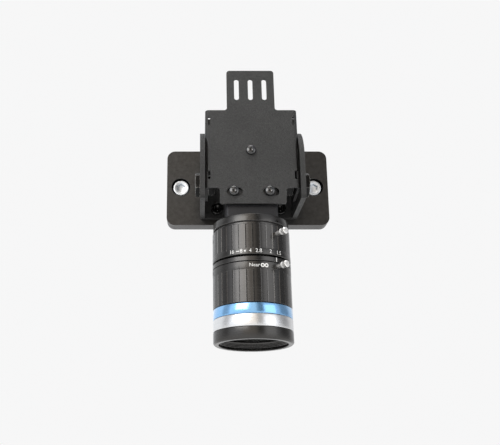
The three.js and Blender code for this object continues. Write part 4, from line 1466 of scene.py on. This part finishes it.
@dataclass
class Lens:
    """The lens: fixed tubes, the two gripped rings, the coloured bands and the glass."""

    flats: int = 36
    flat_apothem: float = 21.66
    flat_run: float = 0.8
    flat_turn: float = 3.0
    flat_least: float = 21.7
    flat_groove: float = 0.2
    ring_chamfer: float = 0.25
    rear_length: float = 4.2
    rear_groove: float = 1.6
    groove_radius: float = 20.3
    rear_radius: float = 21.4
    tube_radius: float = 17.2
    tube_bore: float = 15.2
    thread_radius: float = 12.5
    throat: float = 10.4
    thread_step: float = 0.4
    thread_depth: float = 0.3
    iris_seat_bore: float = 11.2
    iris_seat_height: float = 1.2
    bore_gap: float = 0.35
    aperture_flat_end: float = -45.6
    focus_flat_start: float = -57.8
    band_chamfer: float = 0.22
    rim_opening: float = 18.9
    rim_chamfer: float = 0.8
    rim_lip: float = 1.6
    filter_pitch: float = 0.75
    glass_bore: float = 16.9
    inner_tube: float = 14.8
    hole_radius: float = 1.2
    hole_depth: float = 2.0
    hole_step: float = 120.0
    thumb_head: float = 1.85
    thumb_shank: float = 1.15
    thumb_head_length: float = 3.6
    knurls: int = 18

    def build(self) -> None:
        """Build every piece of the lens."""
        self._rear()
        self._gripped("aperture", self.aperture_flat_end, upward=True)
        self._gripped("focus", self.focus_flat_start, upward=False)
        self._index_tube()
        self._front()
        self._glass()
        self._iris()
        for name in ("aperture", "focus"):
            self._thumb_screw(name)

    def _rear(self) -> None:
        """Build the fixed rear ring with its mount thread, tube and iris seat."""
        extent = measure("lens_mount", LENS)
        rear = measure("front_block", LENS).low.z - 0.3
        ring = rear - self.rear_length
        groove = ring - self.rear_groove + 0.35
        seat = measure("iris_blade_1", LENS).high.z + 0.4
        radius = self.rear_radius
        stations = [
            (self.tube_bore, extent.low.z), (self.tube_radius, extent.low.z),
            (self.tube_radius, groove), (self.groove_radius, groove),
            (self.groove_radius, ring), (radius - 0.25, ring), (radius, ring + 0.25),
            (radius, rear - 0.5), (radius - 0.12, rear - 0.2), (radius - 0.5, rear),
            (self.thread_radius, rear),
        ]
        height = rear
        while height < extent.high.z - 0.9:
            height += self.thread_step
            stations.append((self.thread_radius - self.thread_depth, height))
            height += self.thread_step
            stations.append((self.thread_radius, height))
        stations += [
            (self.thread_radius - 0.4, extent.high.z), (self.throat, extent.high.z),
            (self.throat, rear - 6), (self.tube_bore, rear - 8),
            (self.tube_bore, seat + self.iris_seat_height),
            (self.iris_seat_bore, seat + self.iris_seat_height), (self.iris_seat_bore, seat),
            (self.tube_bore, seat),
        ]
        screw = measure("mount_set_screw", LENS).middle
        turn = math.degrees(math.atan2(screw.x, -screw.y))
        hole = self._radial(0.9, self.groove_radius - 2, radius + 2, turn, screw.z)
        body = carved(turned(stations, 144, closed=True), hole, self._pin_window())
        stand_in("lens_mount", body, LENS, Finishes.lens, None, smooth=28)
        dress("mount_set_screw", Finishes.black_steel, Edge(0.1, 1))

    def _pin_window(self) -> bmesh.types.BMesh:
        """Return the cutter of the slot that the iris pin swings in."""
        pin = measure("iris_pin", LENS)
        low, high = joint_facts("aperture_turn")["range_deg"]
        start = math.degrees(math.atan2(pin.middle.y, pin.middle.x))
        angles = [math.radians(start + low - 6 + (high - low + 12) * step / 24) for step in range(25)]
        outer, inner = ([(radius * math.cos(a), radius * math.sin(a)) for a in angles]
                        for radius in (self.tube_radius + 0.9, self.tube_bore - 1))
        return prism(outer + inner[::-1], pin.low.z - 0.4, pin.high.z + 0.4)

    def _radial(self, radius: float, near: float, far: float, azimuth: float, height: float):
        """Return a round rod along a radius of the lens.

        Args:
            radius: The rod's radius.
            near: Where it starts, from the axis.
            far: Where it ends.
            azimuth: Degrees from the front towards +X.
            height: Its height along the axis.

        Returns:
            The rod's body.
        """
        turn = math.radians(azimuth)
        outward = Vector((math.sin(turn), -math.cos(turn), 0))
        place = axes_at(Vector((0, 0, height)), outward, Z)
        rod = turned([(0, near), (radius, near), (radius, far), (0, far)], 32)
        return moved(rod, place)

    def _gripped(self, name: str, flat_end: float, upward: bool) -> None:
        """Build a ring with milled flats over part of its length.

        Args:
            name: The ring's name without its ending.
            flat_end: Where the flats end, along the axis.
            upward: Whether the flats run from there towards the camera.
        """
        node = f"{name}_ring"
        extent = measure(node, LENS)
        bore = self.tube_radius + self.bore_gap
        radius = extent.radius
        soft = self.ring_chamfer
        far, near = (extent.high.z, extent.low.z) if upward else (extent.low.z, extent.high.z)
        toward = 1 if upward else -1
        rows = [(bore, near), (radius - soft, near), (radius, near + toward * soft)]
        steps = 6
        for step in range(steps + 1):
            share = step / steps
            least = radius - (radius - self.flat_least) * math.sin(share * math.pi / 2)
            height = flat_end - toward * self.flat_run * (1 - share)
            rows.append(Station(self.flat_apothem, height, sides=self.flats, limit=radius, least=least,
                                groove=self.flat_groove * share))
        rows += [
            Station(self.flat_apothem, far - toward * soft, sides=self.flats, limit=radius,
                    least=self.flat_least, groove=self.flat_groove),
            Station(self.flat_apothem - soft, far, sides=self.flats, limit=radius - soft),
            (bore, far),
        ]
        body = moved(turned(rows, 720, closed=True), Matrix.Rotation(math.radians(self.flat_turn), 4, "Z"))
        lock = joint_facts(f"{name}_lock_turn")
        place = LENS.inverted() @ (Vector(lock["pos_m"]) / MM)
        aim = LENS.to_3x3().inverted() @ Vector(lock["axis"])
        azimuth = math.degrees(math.atan2(aim.x, -aim.y))
        cutters = [self._radial(self.thumb_shank + 0.25, bore - 2, radius + 2, azimuth, place.z)]
        for step in (1, 2):
            cutters.append(self._radial(self.hole_radius, radius - self.hole_depth, radius + 2,
                                        azimuth - step * self.hole_step, place.z))
        stand_in(node, carved(body, *cutters), LENS, Finishes.lens, None, smooth=24)

    def _index_tube(self) -> None:
        """Build the fixed tube with the index ring between the two gripped rings."""
        extent = measure("index_tube", LENS)
        focus = measure("focus_ring", LENS)
        radius, soft = extent.radius, 0.18
        high = extent.high.z
        front = focus.high.z + 0.3
        body = turned([
            (self.tube_bore, extent.low.z), (self.tube_radius, extent.low.z),
            (self.tube_radius, front), (radius - soft, front), (radius, front + soft),
            (radius, high - soft), (radius - soft, high), (self.tube_bore, high),
        ], 144, closed=True)
        stand_in("index_tube", body, LENS, Finishes.lens, None, smooth=28)

    def _front(self) -> None:
        """Build the sliding barrel with its bands and rim."""
        barrel = measure("front_barrel", LENS)
        nose = barrel.radius
        blue = measure("blue_band", LENS)
        top = blue.high.z + 0.1
        stations = [
            (self.glass_bore, barrel.low.z), (nose, barrel.low.z), (nose, top),
            (self.inner_tube, top), (self.inner_tube, barrel.high.z),
            (self.inner_tube - 1.8, barrel.high.z), (self.inner_tube - 1.8, top - 2),
            (self.glass_bore, top - 4),
        ]
        stand_in("front_barrel", turned(stations, 144, closed=True), LENS, Finishes.flock, None)
        for node, finish in (("blue_band", Finishes.blue), ("silver_band", Finishes.silver)):
            extent = measure(node, LENS)
            outer, inner, soft = extent.radius, nose + 0.3, self.band_chamfer
            low, high, bow = extent.low.z, extent.high.z, 0.3 * soft
            ring = turned([
                (inner, low), (outer - soft, low), (outer - bow, low + bow),
                (outer, low + soft), (outer, high - soft), (outer - bow, high - bow),
                (outer - soft, high), (inner, high),
            ], 180, closed=True)
            stand_in(node, ring, LENS, finish, None, smooth=40)
        self._rim()

    def _rim(self) -> None:
        """Build the front rim with its filter thread."""
        extent = measure("front_rim", LENS)
        outer, low, high = extent.radius, extent.low.z, extent.high.z
        opening, soft = self.rim_opening, self.rim_chamfer
        lip = opening - self.rim_lip
        thread = [(lip, high), (lip, high - 1.2), (opening, high - 1.8)]
        height = high - 2.2
        while height - self.filter_pitch > low + 0.9:
            thread.append((opening + 0.3, height - 0.5 * self.filter_pitch))
            height -= self.filter_pitch
            thread.append((opening, height))
        body = turned([
            (opening + 0.25, low), (outer - soft - 0.25, low),
            (outer - soft, low + 0.05), (outer - 0.12, low + soft - 0.12), (outer, low + soft + 0.15),
            (outer, high - 0.3), (outer - 0.3, high),
            *thread, (opening, low + 0.3),
        ], 180, closed=True)
        stand_in("front_rim", body, LENS, Finishes.lens, None, smooth=30)

    def _glass(self) -> None:
        """Build the three glasses and the front retainer."""
        for node, front_bulge, rear_bulge in (("front_glass", 2.6, 0.6), ("inner_glass", 1.2, 1.2),
                                              ("rear_glass", 1.4, 1.6)):
            extent = measure(node, LENS)
            radius, steps = extent.radius, 24
            front, rear = extent.low.z + front_bulge, extent.high.z - rear_bulge
            shares = [step / steps for step in range(steps + 1)]
            stations = [(radius * s, front - front_bulge * (1 - s * s)) for s in shares]
            stations += [(radius * s, rear + rear_bulge * (1 - s * s)) for s in reversed(shares)]
            stand_in(node, turned(stations, 128), LENS, Finishes.glass, None, smooth=30)
        extent = measure("glass_retainer", LENS)
        outer, low, high = extent.radius, extent.low.z, extent.high.z
        body = turned([
            (outer - 1.5, high), (outer - 1.5, low + 0.9), (outer - 0.7, low),
            (outer - 0.2, low), (outer, low + 0.2), (outer, high),
        ], 144, closed=True)
        stand_in("glass_retainer", body, LENS, Finishes.lens, None)

    def _iris(self) -> None:
        """Dress the iris pieces, which are seen only through the glass."""
        dress("iris_ring", Finishes.brass)
        dress("iris_pin", Finishes.brass)
        for index in range(6):
            dress(f"iris_blade_{index + 1}", Finishes.flock)

    def _thumb_screw(self, name: str) -> None:
        """Build a knurled lock screw."""
        lock = joint_facts(f"{name}_lock_turn")
        node = f"{name}_lock_screw"
        place = axes_at(Vector(lock["pos_m"]) / MM, Vector(lock["axis"]), LENS_DIRECTION)
        extent = measure(node, place)
        tip, end = extent.low.z, extent.high.z
        start = end - self.thumb_head_length
        radius, shank, teeth = self.thumb_head, self.thumb_shank, self.knurls
        body = turned([
            (0, tip), (shank - 0.3, tip), (shank, tip + 0.3), (shank, start),
            (radius - 0.25, start), (radius, start + 0.25),
            Station(radius, start + 0.5, teeth=teeth, tooth_depth=0.22),
            Station(radius, end - 0.75, teeth=teeth, tooth_depth=0.22),
            (radius, end - 0.5), (radius - 0.4, end), (0, end),
        ], 144)
        slot = prism(box_outline((-0.3, -3), (0.3, 3), 0.05, 2), end - 0.7, end + 1)
        stand_in(node, carved(body, slot), place, Finishes.steel, None, smooth=35)


@dataclass
class DialMarks:
    """Generic dial marks: stop numbers, the index line and the near and far ends of focus."""

    paint_lift: float = 0.04
    paint_half: float = 0.03
    numbers: tuple[tuple[str, float], ...] = (
        ("16", -32.9), ("8", -18.5), ("4", -5.6), ("2.8", 6.4), ("2", 24.2), ("1.5", 38.5),
    )
    number_height: float = 2.15
    number_row: float = -47.55
    dot: float = -13.1
    dash: float = -23.6
    index: float = 33.6
    index_width: float = 0.55
    near: float = -0.2
    far: float = 14.2
    focus_row: float = -55.5
    near_height: float = 2.0
    far_width: float = 3.7
    far_stroke: float = 0.6

    def build(self) -> None:
        """Build the marks on the three rings."""
        radius = measure("aperture_ring", LENS).radius + self.paint_lift
        paint = self.paint_half
        marks = [wrap(wrapped_text(text, self.number_height), radius, azimuth, self.number_row)
                 for text, azimuth in self.numbers]
        marks.append(wrap(prism(circle((0, 0), 0.5, 24), -paint, paint), radius, self.dot, self.number_row))
        dash = prism(box_outline((-0.9, -0.22), (0.9, 0.22), 0.1, 3), -paint, paint)
        marks.append(wrap(dash, radius, self.dash, self.number_row))
        put("aperture_numbers", joined(*marks), LENS, Finishes.paint, "aperture", edge=None)
        ring = measure("index_tube", LENS)
        front = measure("focus_ring", LENS).high.z + 0.3
        half = (ring.high.z - front) / 2 - 0.1
        wide = self.index_width / 2
        line = prism(box_outline((-wide, -half), (wide, half), 0.1, 3), -paint, paint)
        put("index_line", wrap(line, radius, self.index, (ring.high.z + front) / 2), LENS,
            Finishes.paint, "head", edge=None)
        near = wrap(wrapped_text("Near", self.near_height), radius, self.near, self.focus_row)
        far = wrap(self._infinity(), radius, self.far, self.focus_row)
        put("focus_marks", joined(near, far), LENS, Finishes.paint, "focus", edge=None)

    def _infinity(self) -> bmesh.types.BMesh:
        """Return a lying figure of eight as a thin flat band, from its formula."""
        steps, half = 72, self.far_width / 2
        bm = bmesh.new()
        rows = []
        for step in range(steps):
            turn = 2 * math.pi * step / steps
            scale = half / (1 + math.sin(turn) ** 2)
            centre = Vector((scale * math.cos(turn), 1.25 * scale * math.sin(turn) * math.cos(turn)))
            ahead = turn + 0.01
            scale = half / (1 + math.sin(ahead) ** 2)
            later = Vector((scale * math.cos(ahead), 1.25 * scale * math.sin(ahead) * math.cos(ahead)))
            along = (later - centre).normalized()
            normal = Vector((-along.y, along.x)) * self.far_stroke / 2
            lift = 0.012 * math.cos(turn)
            row = [bm.verts.new((*(centre + normal * s), lift + z)) for s, z in
                   ((-1, -0.02), (1, -0.02), (1, 0.02), (-1, 0.02))]
            rows.append(row)
        for step in range(steps):
            here, following = rows[step], rows[(step + 1) % steps]
            for k in range(4):
                bm.faces.new((here[k], here[(k + 1) % 4], following[(k + 1) % 4], following[k]))
        bmesh.ops.recalc_face_normals(bm, faces=bm.faces[:])
        return bm


# ---------------------------------------------------------------- studio


@dataclass(frozen=True)
class LightBand:
    """A strip of the studio's surroundings, by its azimuth from the front towards +X."""

    start: float
    end: float
    color: Color


@dataclass(frozen=True)
class Lamp:
    """A square soft lamp that faces the object."""

    name: str
    place: tuple[float, float, float]
    size: float
    watts: float

    def build(self) -> None:
        """Add the lamp to the scene."""
        light = bpy.data.lights.new(self.name, "AREA")
        light.size = self.size
        light.energy = self.watts
        lamp = linked(self.name, light)
        lamp.location = self.place
        lamp.rotation_euler = (-Vector(self.place)).to_track_quat("-Z", "Y").to_euler()


@dataclass
class Studio:
    """The pale floor, the soft surroundings, the lamps and the camera."""

    pale: Color = (0.928, 0.928, 0.93)
    floor_height: float = -0.3
    floor_radius: float = 5.0
    floor_tone: float = 0.4
    floor_roughness: float = 0.7
    floor_glow: float = 0.586
    camera_place: tuple[float, float, float] = (-0.0295, -0.4216, -0.1429)
    camera_pitch: float = 106.3
    camera_lens: float = 50.4
    camera_shift: float = 0.1
    bands: tuple[LightBand, ...] = (
        LightBand(-180, -104, (1.05, 1.07, 1.1)),
        LightBand(-96, -80, (0.5, 0.5, 0.52)),
        LightBand(-70, -38, (1.3, 1.34, 1.42)),
        LightBand(-30, 4, (1.25, 1.14, 1.02)),
        LightBand(12, 24, (0.12, 0.115, 0.11)),
        LightBand(33, 74, (0.84, 0.86, 0.91)),
        LightBand(84, 108, (0.3, 0.3, 0.31)),
        LightBand(126, 180, (0.85, 0.85, 0.86)),
    )
    lamps: tuple[Lamp, ...] = (
        Lamp("key", (-0.75, -1.05, 0.55), 0.85, 9.0),
        Lamp("fill", (0.9, -0.9, 0.2), 0.8, 2.5),
        Lamp("top", (0.0, -0.25, 1.1), 0.7, 5.0),
    )

    def build(self) -> None:
        """Build the whole studio."""
        self._world()
        self._floor()
        self._camera()
        for lamp in self.lamps:
            lamp.build()
        bpy.context.scene.view_settings.view_transform = "Standard"

    def _world(self) -> None:
        """Build surroundings that light the object in bands and look plain and pale themselves."""
        world = bpy.data.worlds.new("studio")
        bpy.context.scene.world = world
        world.use_nodes = True
        tree = world.node_tree
        tree.nodes.clear()
        out = tree.nodes.new("ShaderNodeOutputWorld")
        place = tree.nodes.new("ShaderNodeTexCoord")
        split = tree.nodes.new("ShaderNodeSeparateXYZ")
        tree.links.new(place.outputs["Generated"], split.inputs[0])
        front = math_node(tree, "MULTIPLY", split.outputs["Y"], -1.0)
        azimuth = math_node(tree, "ARCTAN2", split.outputs["X"], front)
        share = map_range(tree, azimuth, (-math.pi, math.pi), (0.0, 1.0))
        ramp = tree.nodes.new("ShaderNodeValToRGB")
        stops = ramp.color_ramp
        tree.links.new(share, ramp.inputs["Fac"])
        places = [(edge, band.color) for band in self.bands for edge in (band.start, band.end)]
        stops.elements[0].position = 0.0
        stops.elements[1].position = 1.0
        for index, (degrees, color) in enumerate(places):
            position = (degrees + 180) / 360
            last = index == len(places) - 1
            element = stops.elements[0] if index == 0 else stops.elements[-1] if last else \
                stops.elements.new(position)
            element.color = (*color, 1.0)
        bands = tree.nodes.new("ShaderNodeBackground")
        tree.links.new(ramp.outputs["Color"], bands.inputs["Color"])
        plain = tree.nodes.new("ShaderNodeBackground")
        plain.inputs["Color"].default_value = (*self.pale, 1.0)
        path = tree.nodes.new("ShaderNodeLightPath")
        mixed = tree.nodes.new("ShaderNodeMixShader")
        tree.links.new(path.outputs["Is Camera Ray"], mixed.inputs[0])
        tree.links.new(bands.outputs[0], mixed.inputs[1])
        tree.links.new(plain.outputs[0], mixed.inputs[2])
        tree.links.new(mixed.outputs[0], out.inputs["Surface"])

    def _floor(self) -> None:
        """Build a wide pale floor."""
        bm = bmesh.new()
        bmesh.ops.create_circle(bm, cap_ends=True, segments=96, radius=self.floor_radius)
        mesh = mesh_from("floor", bm)
        floor = linked("floor", mesh)
        floor.location.z = self.floor_height
        finish = bpy.data.materials.new("Pale floor")
        finish.use_nodes = True
        shader = finish.node_tree.nodes["Principled BSDF"]
        shader.inputs["Base Color"].default_value = (*[self.floor_tone] * 3, 1)
        shader.inputs["Roughness"].default_value = self.floor_roughness
        shader.inputs["Emission Color"].default_value = (1, 1, 1, 1)
        shader.inputs["Emission Strength"].default_value = self.floor_glow
        mesh.materials.append(finish)

    def _camera(self) -> None:
        """Set the camera below the object, looking up at it."""
        data = bpy.data.cameras.new("camera")
        data.lens = self.camera_lens
        data.sensor_width = 36
        data.shift_x = self.camera_shift
        data.clip_start = 0.01
        holder = linked("camera", data)
        holder.location = self.camera_place
        holder.rotation_euler = (math.radians(self.camera_pitch), 0, 0)
        bpy.context.scene.camera = holder


def main() -> None:
    """Build the studio and every sub-assembly."""
    logging.basicConfig(level=logging.INFO, format="%(message)s")
    for part in (Studio(), BasePlate(), Yoke(), Carrier(), CameraBody(), Lens(), DialMarks()):
        log.info("building %s", type(part).__name__)
        part.build()


if __name__ == "__main__":
    main()
